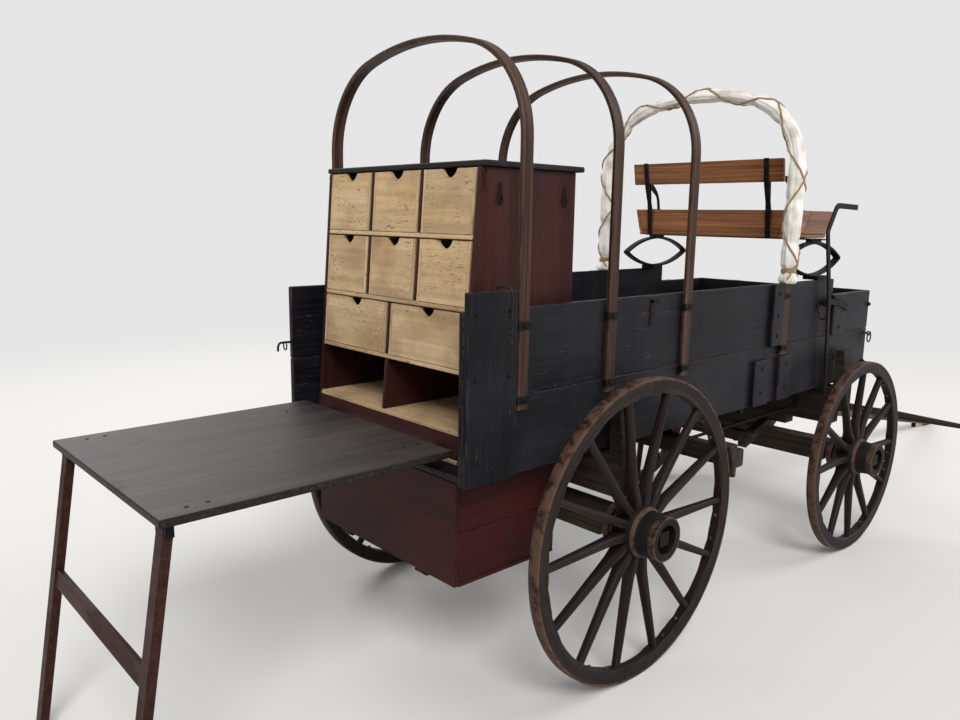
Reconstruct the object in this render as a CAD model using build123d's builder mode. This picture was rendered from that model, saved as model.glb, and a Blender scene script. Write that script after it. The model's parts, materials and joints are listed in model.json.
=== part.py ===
from build123d import *
import os
from math import asin, atan2, cos, degrees, radians, sin, sqrt, tan

os.makedirs("parts", exist_ok=True)

# A chuck wagon in millimetres: +Z is up, the front is toward -Y, the wagon's right side is at -X.
# The origin is on the ground, under the middle of the whole length.

# Wheels
wheelbase = 1975
track = 1456
rear_radius = 610
front_radius = 530
rear_spokes = 14
front_spokes = 12
tyre_width = 45
tyre_thick = 10
felloe_depth = 52
felloe_width = 42
hub_outboard = 121
hub_inboard = 128
hub_end_radius = 82
hub_inner_radius = 80
hub_belly_radius = 104
hub_land = 30
hub_step = 8
hub_recess_radius = 58
hub_recess_depth = 35
bore_radius = 32
band_thick = 5
band_width = 29
spoke_root = (60, 34)
spoke_stations = (  # share of the way out, width round the wheel, width along the axle
    (0, spoke_root[1], spoke_root[0]),
    (0.22, 36, 40),
    (1, 32, 30),
)
spoke_tenon = 10
spoke_dish = 24
fit_gap = 0.3

# Running gear
axle_width = 100
axle_height = 115
axle_shoulder = 8
axle_end_bevel = 30
reach_bevel = 8
skein_collar_radius = 62
nut_side = 56
nut_thick = 24
king_bolt_radius = 12
king_nut_radius = 22
king_nut_height = 14
bolt_head_seat = 46
reach_width = 76
reach_height = 60
reach_tail = 110
reach_nose = 55
bolster_width = 95
bolster_end = 652
stake_clear = 2
stake_shoulder = 40
stake_height = 215
stake_taper = 18
rear_hound_tail = (190, 245)
rear_hound_nose = 860
rear_hound_taper = 60
rear_hound_crotch = 700
rear_hound_lip = 40
hound_width = 50
hound_height = 55
slider_thick = 24.7
hound_tail = (525, 330)
hound_waist = (200, 190)
jaw_run = 110
jaw_nose = 60
slider_half = 380
slider_width = 60
slider_inset = 45
filler_half = 185
filler_width = 80
sand_board_width = 90
sand_board_height = 130
sand_board_inset = 60
board_relief = (260, 50)
notch_half = 60
notch_clear = 8

# Tongue and trees
tongue_pin_ahead = 495
tongue_length = 2950
tongue_tail = 60
root_run = 140
yoke_stop_back = 342
tongue_root = (80, 76)
tongue_tip = (56, 52)
tongue_pin_radius = 11
tree_ahead = 360
doubletree_length = 1180
doubletree_depth = 84
doubletree_thick = 46
singletree_length = 800
singletree_depth = 50
singletree_ahead = 135
singletree_pin_ahead = 85
singletree_pin_inset = 40
tree_pin_radius = 9
hammer_head = 38
hammer_head_thick = 8
stop_size = (24, 30, 40)
doubletree_end = 52
doubletree_flat = 60
clevis_plate = 6
clevis_width = 32
clevis_back = 20
clevis_nose = 16
singletree_end = 30
eye_width = 30
eye_half = 8
eye_wall = 7
band_grip = 4

# Box
box_length = 3150
rear_overhang = 790
box_half_width = 566
board_thick = 25
sill_height = 25
sill_width = 60
side_bottom = 915
side_drop = 15
seam_height = 1200
seam_gap = 1
side_top = 1506
front_top = 1420
front_step = 490
cleat_thick = 20
end_cleat_place = 300
end_cleat_width = 70
corner_board_top = 1570
corner_board_length = 228

# Bows
bow_width = 50
bow_thick = 18
bow_places = (530, 50, -460, -1330)  # behind the rear axle
bow_foot = 1150
bow_top = 2455
bow_corner_radius = 350
bow_crown_radius = 1200
canvas_radius = 50
canvas_foot = 1520
staple_thick = 4
staple_height = 30
staple_heights = (1170, 1430)

# Chuck box
chuck_half_width = 470
chuck_front = 160
chuck_wall = 20
chuck_top = 1975
chuck_face_top = 636
chuck_face_bottom = 716
chuck_lid_overhang = 16
chuck_lid_front = 130
chuck_lid_rear = 634
chuck_lid_thick = 20
shelf_thick = 18
shelf_drops = (227, 473, 690, 905)
wide_row_count = 3
low_row_count = 2
drawer_gap = 4
drawer_wall = 12
drawer_front = 18
notch_radius = 44
notch_drop = 12

# Drop table
table_half_width = 486
table_thick = 25
table_top = 1025
table_end = 1755
table_clear = 12
hinge_rod_radius = 6
knuckle_wall = 5
knuckle_width = 40
knuckle_gap = 2
knuckle_places = (-350, 350)
strap_thick = 5
strap_length = 180
bracket_width = 14
bracket_half = 9
batten_place = 260
batten_thick = 12
batten_width = 60
batten_clear = 20
batten_end = 140
leg_place = 430
leg_rail_thick = 17
rail_drop = 420
leg_width = 46
leg_thick = 30
leg_splay = 9.2
leg_inset = 34
leg_pivot_radius = 7
leg_clear = 13
leg_head = 13
leg_rail_height = 60
ear_gap = 8
ear_thick = 6
ear_half = 13
ear_drop = 11

# Boot
boot_half_width = 450
boot_front = 200
boot_rear = 700
boot_bottom = 490
boot_wall = 18
door_gap = 2
door_top_gap = 14
door_bite = 3
door_pin_radius = 5
door_knuckle_half = 9
door_hinge_place = 250
bracket_reach = 60
bracket_wall = 3

# Seat
seat_half_length = 480
seat_rear = 495
seat_depth = 500
seat_bottom = 1720
seat_height = 145
seat_board = 22
rail_half_length = 430
rail_bottom = 2005
rail_height = 115
spring_x = 500
spring_length = 600
spring_width = 40
spring_leaf = 6
spring_block = 22
spring_seat = 100
stay_thick = 5
stay_width = 28
stay_place = 370
arm_run = 150
arm_rise = 25
arm_bend = 125
arm_thick = 8
arm_width = 16
arm_foot = 30

# Brake
lever_line = ((175, 885), (232, 1420), (314, 1760), (229, 1893), (-10, 1887))
lever_width = 28
lever_thick = 10
lever_bend = 45
lever_gap = 4
quadrant_radius = 520
quadrant_width = 34
quadrant_thick = 8
quadrant_sweep = (-9, 25)
quadrant_teeth = 18
tooth_depth = 9
spacer = 24
rocker_back = 175
rocker_z = 885
rocker_radius = 10
rocker_proud = 15
rocker_arm = 28
rocker_bracket = (40, 36)
rod_half = 6
rod_place = 440
rod_z = 785
beam_back = -705
beam_clear = 8
beam_width = 70
beam_height = 80
beam_end = 752
shoe_gap = 10
hanger_place = 380
hanger_width = 40
hanger_thick = 6
shoe_half_width = 32
shoe_half_height = 75
shoe_block = 90

# Places worked out from the sizes above
half_track = track / 2
front_axle_top = front_radius + axle_height / 2
rear_axle_top = rear_radius + axle_height / 2
hound_top = front_axle_top + hound_height
reach_bottom = rear_axle_top
reach_top = reach_bottom + reach_height
sand_board_top = hound_top + sand_board_height
bolster_top = side_bottom - side_drop
floor_bottom = bolster_top + sill_height
floor_top = floor_bottom + board_thick
inner_half_width = box_half_width - board_thick
tongue_pin_z = front_axle_top + hound_height / 2
tip_half = tongue_tip[1] / 2
tongue_slope = asin(tongue_pin_z / sqrt(tongue_length**2 + tip_half**2)) - atan2(tip_half, tongue_length)
leg_pivot_z = table_top - table_thick - leg_thick / 2 - leg_clear
leg_pivot_back = table_end - leg_inset
leg_foot_back = leg_pivot_back + leg_pivot_z * tan(radians(leg_splay))
leg_half_foot = leg_thick / 2 / cos(radians(leg_splay))
nose = wheelbase + tongue_pin_ahead + tongue_length * cos(tongue_slope) + tip_half * sin(tongue_slope)
tail = leg_foot_back + leg_half_foot
rear_y = (nose - tail) / 2
front_y = rear_y - wheelbase
box_rear = rear_y + rear_overhang
box_front = box_rear - box_length
face_slope = (chuck_face_bottom - chuck_face_top) / (chuck_top - floor_top)
hinge_z = table_top - table_thick
hinge_back = chuck_face_bottom - face_slope * (hinge_z - floor_top) + table_thick + table_clear


def save(builder, name):
    builder.part.label = name
    export_step(builder.part, f"parts/{name}.step")


def block(x0, x1, y0, y1, z0, z1):
    with Locations(((x0 + x1) / 2, (y0 + y1) / 2, (z0 + z1) / 2)):
        Box(abs(x1 - x0), abs(y1 - y0), abs(z1 - z0))


def bent_iron(plane, points, radius, thick, width):
    # Flat iron bent round its corners: thick in the plane, wide across it
    with BuildPart() as iron:
        with BuildSketch(plane):
            with BuildLine():
                FilletPolyline(*points, radius=radius)
            trace(line_width=thick)
        extrude(amount=width)
    return iron.part


def face_at(z):
    # Distance behind the rear axle of the chuck box's sloping face at a height
    return chuck_face_bottom - face_slope * (z - floor_top)


# Wheels: axis along Z, outboard toward +Z, middle of the rim at the origin
recess_floor = hub_outboard - hub_recess_depth
hub_rings = (  # place along the axis, radius
    (-hub_inboard, hub_inner_radius),
    (-hub_inboard + band_width, hub_inner_radius),
    (-spoke_dish - spoke_root[0] / 2, hub_belly_radius),
    (-spoke_dish + spoke_root[0] / 2, hub_belly_radius),
    (-spoke_dish + spoke_root[0] / 2 + hub_land, hub_end_radius + hub_step),
    (hub_outboard - band_width, hub_end_radius),
    (hub_outboard, hub_end_radius),
)
hub_bands = ((-hub_inboard, hub_inner_radius), (hub_outboard - band_width, hub_end_radius))  # start, seat


def turned_hub(rings, flats):
    # A turned shape with a flat under each spoke: each length narrows from its wider ring
    with BuildPart() as turned:
        for (start, near), (end, far) in zip(rings[:-1], rings[1:]):
            if far > near:
                start, near, end, far = end, far, start, near
            inset = (near - far) * cos(radians(180 / flats))
            with BuildSketch(Plane.XY.offset(start)):
                RegularPolygon(near, flats, rotation=180 / flats)
            extrude(amount=end - start, taper=degrees(atan2(inset, abs(end - start))))
    return turned.part


spoke_start = hub_belly_radius - spoke_tenon
wheel_sizes = {}
for size, radius, spokes in (("rear", rear_radius, rear_spokes), ("front", front_radius, front_spokes)):
    felloe_outer = radius - tyre_thick - fit_gap
    felloe_inner = felloe_outer - felloe_depth
    flats = 2 * spokes
    rim_flats = 2 * flats
    spoke_run = felloe_inner + spoke_tenon - spoke_start
    with BuildPart() as spoke:
        with BuildSketch(Plane.XY.offset(-hub_belly_radius)):
            right = [(spoke_start + share * spoke_run, across / 2) for share, across, along in spoke_stations]
            left = [(out, -half) for out, half in reversed(right)]
            with BuildLine():
                Polyline(*right, *left, close=True)
            make_face()
        extrude(amount=2 * hub_belly_radius)
        with BuildSketch(Plane.XZ.offset(-hub_belly_radius)):
            front = []
            back = []
            for share, across, along in spoke_stations:
                lean = -spoke_dish * (1 - share)
                front.append((spoke_start + share * spoke_run, lean + along / 2))
                back.append((spoke_start + share * spoke_run, lean - along / 2))
            with BuildLine():
                Polyline(*front, *reversed(back), close=True)
            make_face()
        extrude(amount=2 * hub_belly_radius, mode=Mode.INTERSECT)
    with BuildPart() as wood:
        add(turned_hub(hub_rings, spokes))
        for start, seat in hub_bands:
            with BuildSketch(Plane.XY.offset(start)):
                RegularPolygon(seat + band_thick, spokes, rotation=180 / spokes)
            extrude(amount=band_width)
        with PolarLocations(0, spokes):
            add(spoke.part)
        with BuildSketch(Plane.XY.offset(-felloe_width / 2)):
            RegularPolygon(felloe_outer, rim_flats)
            corner = felloe_inner / cos(radians(180 / flats))
            RegularPolygon(corner, flats, rotation=180 / flats, mode=Mode.SUBTRACT)
        extrude(amount=felloe_width)
        with BuildSketch(Plane.XY.offset(-hub_inboard)):
            Circle(bore_radius)
        extrude(amount=hub_inboard + recess_floor, mode=Mode.SUBTRACT)
        with BuildSketch(Plane.XY.offset(recess_floor)):
            RegularPolygon(hub_recess_radius, spokes, rotation=180 / spokes)
        extrude(amount=hub_recess_depth, mode=Mode.SUBTRACT)
    with BuildPart() as iron:
        with BuildSketch(Plane.XY.offset(-tyre_width / 2)):
            Circle(radius)
            RegularPolygon(radius - tyre_thick, rim_flats, mode=Mode.SUBTRACT)
        extrude(amount=tyre_width)
    wheel_sizes[size] = (wood.part, iron.part)

# Skein: the iron axle arm in a wheel's bore, with its nut in the hub's recess
arm_start = -hub_inboard - fit_gap
arm_end = recess_floor + fit_gap
with BuildPart() as arm:
    with BuildSketch(Plane.XY.offset(arm_start)):
        Circle(bore_radius - fit_gap)
    extrude(amount=arm_end - arm_start)
    with BuildSketch(Plane.XY.offset(arm_start - axle_shoulder + fit_gap)):
        RegularPolygon(skein_collar_radius, 12)
    extrude(amount=axle_shoulder - fit_gap)
    with BuildSketch(Plane.XY.offset(arm_end)):
        Rectangle(nut_side, nut_side)
    extrude(amount=nut_thick)

wheels = (  # name, size, side, axle place, hub height
    ("rear_right", "rear", -1, rear_y, rear_radius),
    ("rear_left", "rear", 1, rear_y, rear_radius),
    ("front_right", "front", -1, front_y, front_radius),
    ("front_left", "front", 1, front_y, front_radius),
)
for name, size, side, y, height in wheels:
    hub_plane = Plane(origin=(side * half_track, y, height), x_dir=(0, 0, 1), z_dir=(side, 0, 0))
    wood, iron = wheel_sizes[size]
    with BuildPart(hub_plane) as wheel_wood:
        add(wood)
    save(wheel_wood, f"wheel_{name}")
    with BuildPart(hub_plane) as wheel_iron:
        add(iron)
    save(wheel_iron, f"tyre_{name}")

# Axles and their skeins
for name, y, height in (("rear", rear_y, rear_radius), ("front", front_y, front_radius)):
    end = half_track - hub_inboard - axle_shoulder
    with BuildPart() as axle:
        with Locations((0, y, height)):
            Box(2 * end, axle_width, axle_height)
        chamfer(axle.faces().sort_by(Axis.Z)[0].edges().filter_by(Axis.Y), axle_end_bevel)
        if name == "front":
            with Locations((0, y, height)):
                Hole(king_bolt_radius + fit_gap)
    save(axle, f"{name}_axle")
    with BuildPart() as skeins:
        for side in (-1, 1):
            with Locations(Plane(origin=(side * half_track, y, height), x_dir=(0, 0, 1), z_dir=(side, 0, 0))):
                add(arm.part)
    save(skeins, f"{name}_skeins")

# Reach: the pole that ties the front gear to the rear axle
with BuildPart() as reach:
    with Locations((0, (front_y - reach_nose + rear_y + reach_tail) / 2, (reach_bottom + reach_top) / 2)):
        Box(reach_width, wheelbase + reach_nose + reach_tail, reach_height)
    chamfer(reach.edges().filter_by(Axis.Y), reach_bevel)
    with Locations((0, front_y, reach_top)):
        Hole(king_bolt_radius + fit_gap)
save(reach, "reach")

# Rear hounds: braces from the rear axle to the reach
with BuildPart() as rear_hounds:
    for side in (-1, 1):
        with BuildSketch(Plane.XY.offset(reach_bottom)):
            with BuildLine():
                Polyline(
                    (side * rear_hound_tail[0], rear_y + axle_width / 2),
                    (side * rear_hound_tail[1], rear_y + axle_width / 2),
                    (side * rear_hound_tail[1], rear_y - axle_width / 2),
                    (side * (reach_width / 2 + rear_hound_lip), rear_y - rear_hound_nose + rear_hound_taper),
                    (side * reach_width / 2, rear_y - rear_hound_nose),
                    (side * reach_width / 2, rear_y - rear_hound_crotch),
                    (side * rear_hound_tail[0], rear_y - axle_width / 2),
                    close=True,
                )
            make_face()
        extrude(amount=reach_height)
save(rear_hounds, "rear_hounds")

# Bolsters carry the box between their stakes
bolster_plans = (  # name, axle place, underside
    ("rear", rear_y, reach_top),
    ("front", front_y, sand_board_top + fit_gap),
)
for name, y, bottom in bolster_plans:
    with BuildPart() as bolster:
        block(-bolster_end, bolster_end, y - bolster_width / 2, y + bolster_width / 2, bottom, bolster_top)
        if name == "front":
            with Locations((0, y, bolster_top)):
                Hole(king_bolt_radius + fit_gap)
                Box(bolt_head_seat, bolt_head_seat, 2 * king_nut_height + 2, mode=Mode.SUBTRACT)
        for side in (-1, 1):
            stake_in = box_half_width + cleat_thick + stake_clear
            with BuildSketch(Plane.XZ.offset(-y - bolster_width / 2)):
                with BuildLine():
                    Polyline(
                        (side * stake_in, bolster_top),
                        (side * bolster_end, bolster_top),
                        (side * bolster_end, bolster_top + stake_shoulder),
                        (side * (bolster_end - stake_taper), bolster_top + stake_height),
                        (side * stake_in, bolster_top + stake_height),
                        close=True,
                    )
                make_face()
            extrude(amount=bolster_width)
    save(bolster, f"{name}_bolster")

# Front gear: turns about the king bolt
board_end = bolster_end - sand_board_inset
with BuildPart() as sand_board:
    block(
        -board_end,
        board_end,
        front_y - sand_board_width / 2,
        front_y + sand_board_width / 2,
        hound_top,
        sand_board_top,
    )
    notch_top = reach_top + notch_clear
    with Locations((0, front_y, (hound_top + notch_top) / 2)):
        Box(2 * notch_half, bolster_width, notch_top - hound_top, mode=Mode.SUBTRACT)
    for side in (-1, 1):
        with Locations((side * (board_end - board_relief[0] / 2), front_y, hound_top)):
            Box(board_relief[0], bolster_width, 2 * board_relief[1], mode=Mode.SUBTRACT)
    with Locations((0, front_y, sand_board_top)):
        Hole(king_bolt_radius + fit_gap)
save(sand_board, "sand_board")

jaw_spread = tongue_root[0] / 2 + fit_gap + hound_width / 2
hound_line = (  # behind the front axle, half spread
    (hound_tail[0], hound_tail[1]),
    (axle_width / 2, hound_waist[0]),
    (-axle_width / 2, hound_waist[1]),
    (jaw_run - tongue_pin_ahead, jaw_spread),
    (-tongue_pin_ahead - jaw_nose, jaw_spread),
)
with BuildPart() as front_hounds:
    for side in (-1, 1):
        inner = [(side * (spread - hound_width / 2), front_y + back) for back, spread in hound_line]
        outer = [(side * (spread + hound_width / 2), front_y + back) for back, spread in reversed(hound_line)]
        with BuildSketch(Plane.XY.offset(front_axle_top)):
            with BuildLine():
                Polyline(*inner, *outer, close=True)
            make_face()
        extrude(amount=hound_height)
    slider_y = front_y + hound_tail[0] - slider_inset
    block(
        -slider_half,
        slider_half,
        slider_y - slider_width / 2,
        slider_y + slider_width / 2,
        hound_top,
        hound_top + slider_thick,
    )
    block(
        -filler_half,
        filler_half,
        front_y - filler_width / 2,
        front_y + filler_width / 2,
        front_axle_top,
        hound_top,
    )
    with Locations((0, front_y, hound_top)):
        Hole(king_bolt_radius + fit_gap)
    with Locations(Plane(origin=(0, front_y - tongue_pin_ahead, tongue_pin_z), z_dir=(1, 0, 0))):
        Cylinder(tongue_pin_radius, 2 * hound_width + tongue_root[0] + 2 * fit_gap)
save(front_hounds, "front_hounds")

king_bolt_foot = front_radius - axle_height / 2 - fit_gap
with BuildPart() as king_bolt:
    with BuildSketch(Plane.XY.offset(king_bolt_foot - king_nut_height)):
        with Locations((0, front_y)):
            Circle(king_bolt_radius)
    extrude(amount=bolster_top - fit_gap - king_bolt_foot + king_nut_height)
    for low in (king_bolt_foot - king_nut_height, bolster_top - fit_gap - king_nut_height):
        with BuildSketch(Plane.XY.offset(low)):
            with Locations((0, front_y)):
                RegularPolygon(king_nut_radius, 6)
        extrude(amount=king_nut_height)
save(king_bolt, "king_bolt")

# Tongue: built along +X from its pin, up is +Z, then laid down to the ground
tongue_plane = Plane(
    origin=(0, front_y - tongue_pin_ahead, tongue_pin_z),
    x_dir=(0, -cos(tongue_slope), -sin(tongue_slope)),
    z_dir=(0, -sin(tongue_slope), cos(tongue_slope)),
)
tree_seat = tongue_root[1] / 2
with BuildPart() as pole:
    for number, plane in enumerate((Plane.XY, Plane.XZ)):
        root, tip = tongue_root[number] / 2, tongue_tip[number] / 2
        with BuildSketch(plane.offset(-tongue_root[0])):
            with BuildLine():
                Polyline(
                    (-tongue_tail, root),
                    (tree_ahead + root_run, root),
                    (tongue_length, tip),
                    (tongue_length, -tip),
                    (tree_ahead + root_run, -root),
                    (-tongue_tail, -root),
                    close=True,
                )
            make_face()
        extrude(amount=2 * tongue_root[0], mode=(Mode.ADD, Mode.INTERSECT)[number])
    with Locations(Plane(origin=(0, 0, 0), z_dir=(0, 1, 0))):
        Cylinder(tongue_pin_radius + fit_gap, tongue_root[0] + 10, mode=Mode.SUBTRACT)
with BuildPart(tongue_plane) as tongue:
    add(pole.part)
save(tongue, "tongue")

# Tongue irons: tip cap with its neck yoke stop, and the hammer pin that carries the doubletree
hammer_top = tree_seat + fit_gap + doubletree_thick + fit_gap
with BuildPart() as irons:
    with BuildSketch(Plane.XY.offset(tree_seat)):
        with Locations((tree_ahead, 0)):
            Circle(tree_pin_radius)
    extrude(amount=hammer_top - tree_seat)
    with BuildSketch(Plane.XY.offset(hammer_top)):
        with Locations((tree_ahead, 0)):
            Rectangle(hammer_head, hammer_head)
    extrude(amount=hammer_head_thick)
    stop_start = tongue_length - yoke_stop_back
    taper_done = (stop_start - tree_ahead - root_run) / (tongue_length - tree_ahead - root_run)
    stop_top = -(tongue_root[1] + (tongue_tip[1] - tongue_root[1]) * taper_done) / 2
    block(
        stop_start,
        stop_start + stop_size[0],
        -stop_size[1] / 2,
        stop_size[1] / 2,
        stop_top - stop_size[2],
        stop_top,
    )
with BuildPart(tongue_plane) as tongue_irons:
    add(irons.part)
save(tongue_irons, "tongue_irons")

tree_bottom = tree_seat + fit_gap
tree_mid = tree_bottom + doubletree_thick / 2
pin_out = doubletree_length / 2 - singletree_pin_inset
with BuildPart() as evener:
    with BuildSketch(Plane.XY.offset(tree_bottom)):
        with BuildLine():
            Polyline(
                (tree_ahead - doubletree_depth / 2, -doubletree_flat),
                (tree_ahead - doubletree_depth / 2, doubletree_flat),
                (tree_ahead - doubletree_end / 2, doubletree_length / 2),
                (tree_ahead + doubletree_end / 2, doubletree_length / 2),
                (tree_ahead + doubletree_depth / 2, doubletree_flat),
                (tree_ahead + doubletree_depth / 2, -doubletree_flat),
                (tree_ahead + doubletree_end / 2, -doubletree_length / 2),
                (tree_ahead - doubletree_end / 2, -doubletree_length / 2),
                close=True,
            )
        make_face()
    extrude(amount=doubletree_thick)
    with Locations((tree_ahead, 0, tree_bottom + doubletree_thick)):
        Hole(tree_pin_radius + fit_gap)
with BuildPart(tongue_plane) as doubletree:
    add(evener.part)
save(doubletree, "doubletree")

# Clevises: plates over and under the doubletree's ends, with the pins of the singletrees
with BuildPart() as clevis:
    for side in (-1, 1):
        near = side * pin_out - clevis_width / 2
        far = side * pin_out + clevis_width / 2
        nose_end = tree_ahead + singletree_pin_ahead + clevis_nose
        for start in (tree_bottom - clevis_plate, tree_bottom + doubletree_thick):
            block(tree_ahead - clevis_back, nose_end, near, far, start, start + clevis_plate)
        with Locations((tree_ahead + singletree_pin_ahead, side * pin_out, tree_mid)):
            Cylinder(tree_pin_radius, doubletree_thick + clevis_plate / 3)
with BuildPart(tongue_plane) as clevises:
    add(clevis.part)
save(clevises, "doubletree_clevises")

# Singletrees: bars that taper both ways to their ends, each with a band and an eye on the pin
pin_station = tree_ahead + singletree_pin_ahead
bar_station = tree_ahead + singletree_ahead
for name, side in (("right", -1), ("left", 1)):
    bar_middle = Vector(bar_station, side * pin_out, tree_mid)
    with BuildPart() as bar_shape:
        middle, tip, half = singletree_depth / 2, singletree_end / 2, singletree_length / 2
        outline = [(-half, tip), (0, middle), (half, tip), (half, -tip), (0, -middle), (-half, -tip)]
        for number, across in enumerate(((0, 0, 1), (1, 0, 0))):
            plan = Plane(origin=bar_middle, x_dir=(0, 1, 0), z_dir=across)
            with BuildSketch(plan.offset(-singletree_depth)):
                with BuildLine():
                    Polyline(*outline, close=True)
                make_face()
            extrude(amount=2 * singletree_depth, mode=(Mode.ADD, Mode.INTERSECT)[number])
    with BuildPart() as iron_shape:
        reach_in = bar_station - singletree_depth / 2 - pin_station
        with BuildSketch(Plane.XY.offset(tree_mid - eye_half)):
            with Locations((pin_station + reach_in / 2, side * pin_out)):
                Rectangle(reach_in + 2 * (tree_pin_radius + eye_wall), 2 * (tree_pin_radius + eye_wall))
            with Locations((pin_station, side * pin_out)):
                Circle(tree_pin_radius + fit_gap, mode=Mode.SUBTRACT)
        extrude(amount=2 * eye_half)
        with Locations(bar_middle):
            Box(singletree_depth + 2 * band_grip, eye_width, singletree_depth + 2 * band_grip)
        add(bar_shape.part, mode=Mode.SUBTRACT)
    with BuildPart(tongue_plane) as singletree:
        add(bar_shape.part)
    save(singletree, f"singletree_{name}")
    with BuildPart(tongue_plane) as singletree_iron:
        add(iron_shape.part)
    save(singletree_iron, f"singletree_{name}_iron")

# Box floor: boards on cross sills
sill_places = (700, 250, 0, -640, -1000, -1500, -wheelbase, -2300)  # behind the rear axle
with BuildPart() as floor:
    block(-inner_half_width, inner_half_width, box_front, box_rear, floor_bottom, floor_top)
    for back in sill_places:
        y = rear_y + back
        with Locations((0, y, (bolster_top + floor_bottom) / 2)):
            Box(2 * inner_half_width, sill_width, sill_height)
save(floor, "floor")

# Box sides: a lower and an upper board a side, with cleats on the outside
cleats = (  # behind the rear axle, width, underside, top
    (-1128, 136, side_bottom, 1140),
    (-1362, 125, side_bottom, 1140),
    (-1248, 104, seam_height, side_top),
    (-1937, 155, seam_height, front_top),
)
for name, side in (("right", -1), ("left", 1)):
    inner, outer, proud = (side * x for x in (inner_half_width, box_half_width, box_half_width + cleat_thick))
    with BuildPart() as side_boards:
        block(inner, outer, box_front, box_rear, side_bottom, seam_height - seam_gap)
        block(inner, outer, box_front + front_step, box_rear, seam_height, side_top)
        block(inner, outer, box_front, box_front + front_step, seam_height, front_top)
        for back, width, low, high in cleats:
            y = rear_y + back
            block(outer, proud, y - width / 2, y + width / 2, low, high)
    save(side_boards, f"side_boards_{name}")

with BuildPart() as end_board:
    block(-inner_half_width, inner_half_width, box_front, box_front + board_thick, floor_top, front_top)
    for side in (-1, 1):
        x = side * end_cleat_place
        block(
            x - end_cleat_width / 2,
            x + end_cleat_width / 2,
            box_front - cleat_thick,
            box_front,
            bolster_top,
            front_top,
        )
save(end_board, "front_end_board")

# Raised board outside the right side's rear end, with the iron rod and hook at its top
with BuildPart() as corner_board:
    block(
        -box_half_width - cleat_thick,
        -box_half_width,
        box_rear - corner_board_length,
        box_rear,
        side_bottom,
        corner_board_top,
    )
save(corner_board, "rear_corner_board")

# Bows: bent wooden strips standing outside the sides
bow_line = box_half_width + bow_thick / 2


def arch(half_width, top, corner, crown):
    # Half of a three-centred arch and its mirror image, from foot to foot
    drop = sqrt((crown - corner) ** 2 - (half_width - corner) ** 2)
    spring = top - crown + drop
    turn = atan2(half_width - corner, drop)
    meet = (crown * sin(turn), top - crown + crown * cos(turn))
    middle = radians(90) - (radians(90) - turn) / 2
    mid = (half_width - corner + corner * sin(middle), spring + corner * cos(middle))
    return spring, meet, mid


def arch_face(grow, foot):
    half_width, top = bow_line + grow, bow_top + grow - bow_thick / 2
    corner, crown = bow_corner_radius + grow, bow_crown_radius + grow
    spring, meet, mid = arch(half_width, top, corner, crown)
    with BuildSketch() as face:
        with BuildLine():
            Line((-half_width, foot), (-half_width, spring))
            ThreePointArc((-half_width, spring), (-mid[0], mid[1]), (-meet[0], meet[1]))
            ThreePointArc((-meet[0], meet[1]), (0, top), meet)
            ThreePointArc(meet, mid, (half_width, spring))
            Line((half_width, spring), (half_width, foot))
            Line((half_width, foot), (-half_width, foot))
        make_face()
    return face.sketch


def arch_strip(y, width, grow, foot):
    # A strip bent over the wagon: as wide along it as width, as thick as twice grow
    with BuildPart() as strip:
        with BuildSketch(Plane.XZ.offset(-y - width / 2)):
            add(arch_face(grow, foot))
            add(arch_face(-grow, foot), mode=Mode.SUBTRACT)
        extrude(amount=width)
    return strip.part


with BuildPart() as bows:
    for back in bow_places[:-1]:
        add(arch_strip(rear_y + back, bow_width, bow_thick / 2, bow_foot))
save(bows, "bows")
canvas_y = rear_y + bow_places[-1]
with BuildPart() as front_bow:
    add(arch_strip(canvas_y, bow_width, bow_thick / 2, bow_foot))
save(front_bow, "front_bow")

# Canvas gathered along the front bow
with BuildPart() as canvas:
    add(arch_strip(canvas_y, 2 * canvas_radius, canvas_radius, canvas_foot))
    bow_slot = arch_strip(canvas_y, bow_width + 2 * fit_gap, bow_thick / 2 + fit_gap, canvas_foot - 1)
    add(bow_slot, mode=Mode.SUBTRACT)
save(canvas, "canvas")

# Staples hold the bows to the sides
with BuildPart() as staples:
    for back in bow_places:
        y = rear_y + back
        for side in (-1, 1):
            for low in staple_heights:
                near = side * box_half_width
                far = side * (box_half_width + bow_thick + fit_gap)
                lip = side * (box_half_width + bow_thick + fit_gap + staple_thick)
                half = bow_width / 2 + fit_gap
                block(far, lip, y - half - staple_thick, y + half + staple_thick, low, low + staple_height)
                for edge in (-1, 1):
                    side_y = y + edge * half
                    block(near, far, side_y, side_y + edge * staple_thick, low, low + staple_height)
save(staples, "bow_staples")

# Chuck box: two sides and a front wall, shelves between them, dividers between the shelves
case_front = rear_y + chuck_front
side_wall = chuck_half_width - chuck_wall
shelf_front = case_front + chuck_wall
shelves = tuple(chuck_top - drop for drop in shelf_drops) + (floor_top + shelf_thick,)
compartments = (  # floor, ceiling, columns, whether they hold drawers
    (shelves[0], chuck_top, wide_row_count, True),
    (shelves[1], shelves[0] - shelf_thick, wide_row_count, True),
    (shelves[2], shelves[1] - shelf_thick, low_row_count, True),
    (shelves[3], shelves[2] - shelf_thick, low_row_count, False),
)


def columns(count):
    # Centres and width of equal compartments between the case walls
    width = (2 * side_wall - (count - 1) * shelf_thick) / count
    return [-side_wall + width / 2 + i * (width + shelf_thick) for i in range(count)], width


def sloped(x0, x1, front, low, high):
    # A block from a flat front to the chuck box's sloping face
    with BuildPart() as shape:
        with BuildSketch(Plane.YZ.offset(x0)):
            with BuildLine():
                Polyline(
                    (front, low),
                    (rear_y + face_at(low), low),
                    (rear_y + face_at(high), high),
                    (front, high),
                    close=True,
                )
            make_face()
        extrude(amount=x1 - x0)
    return shape.part


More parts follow.
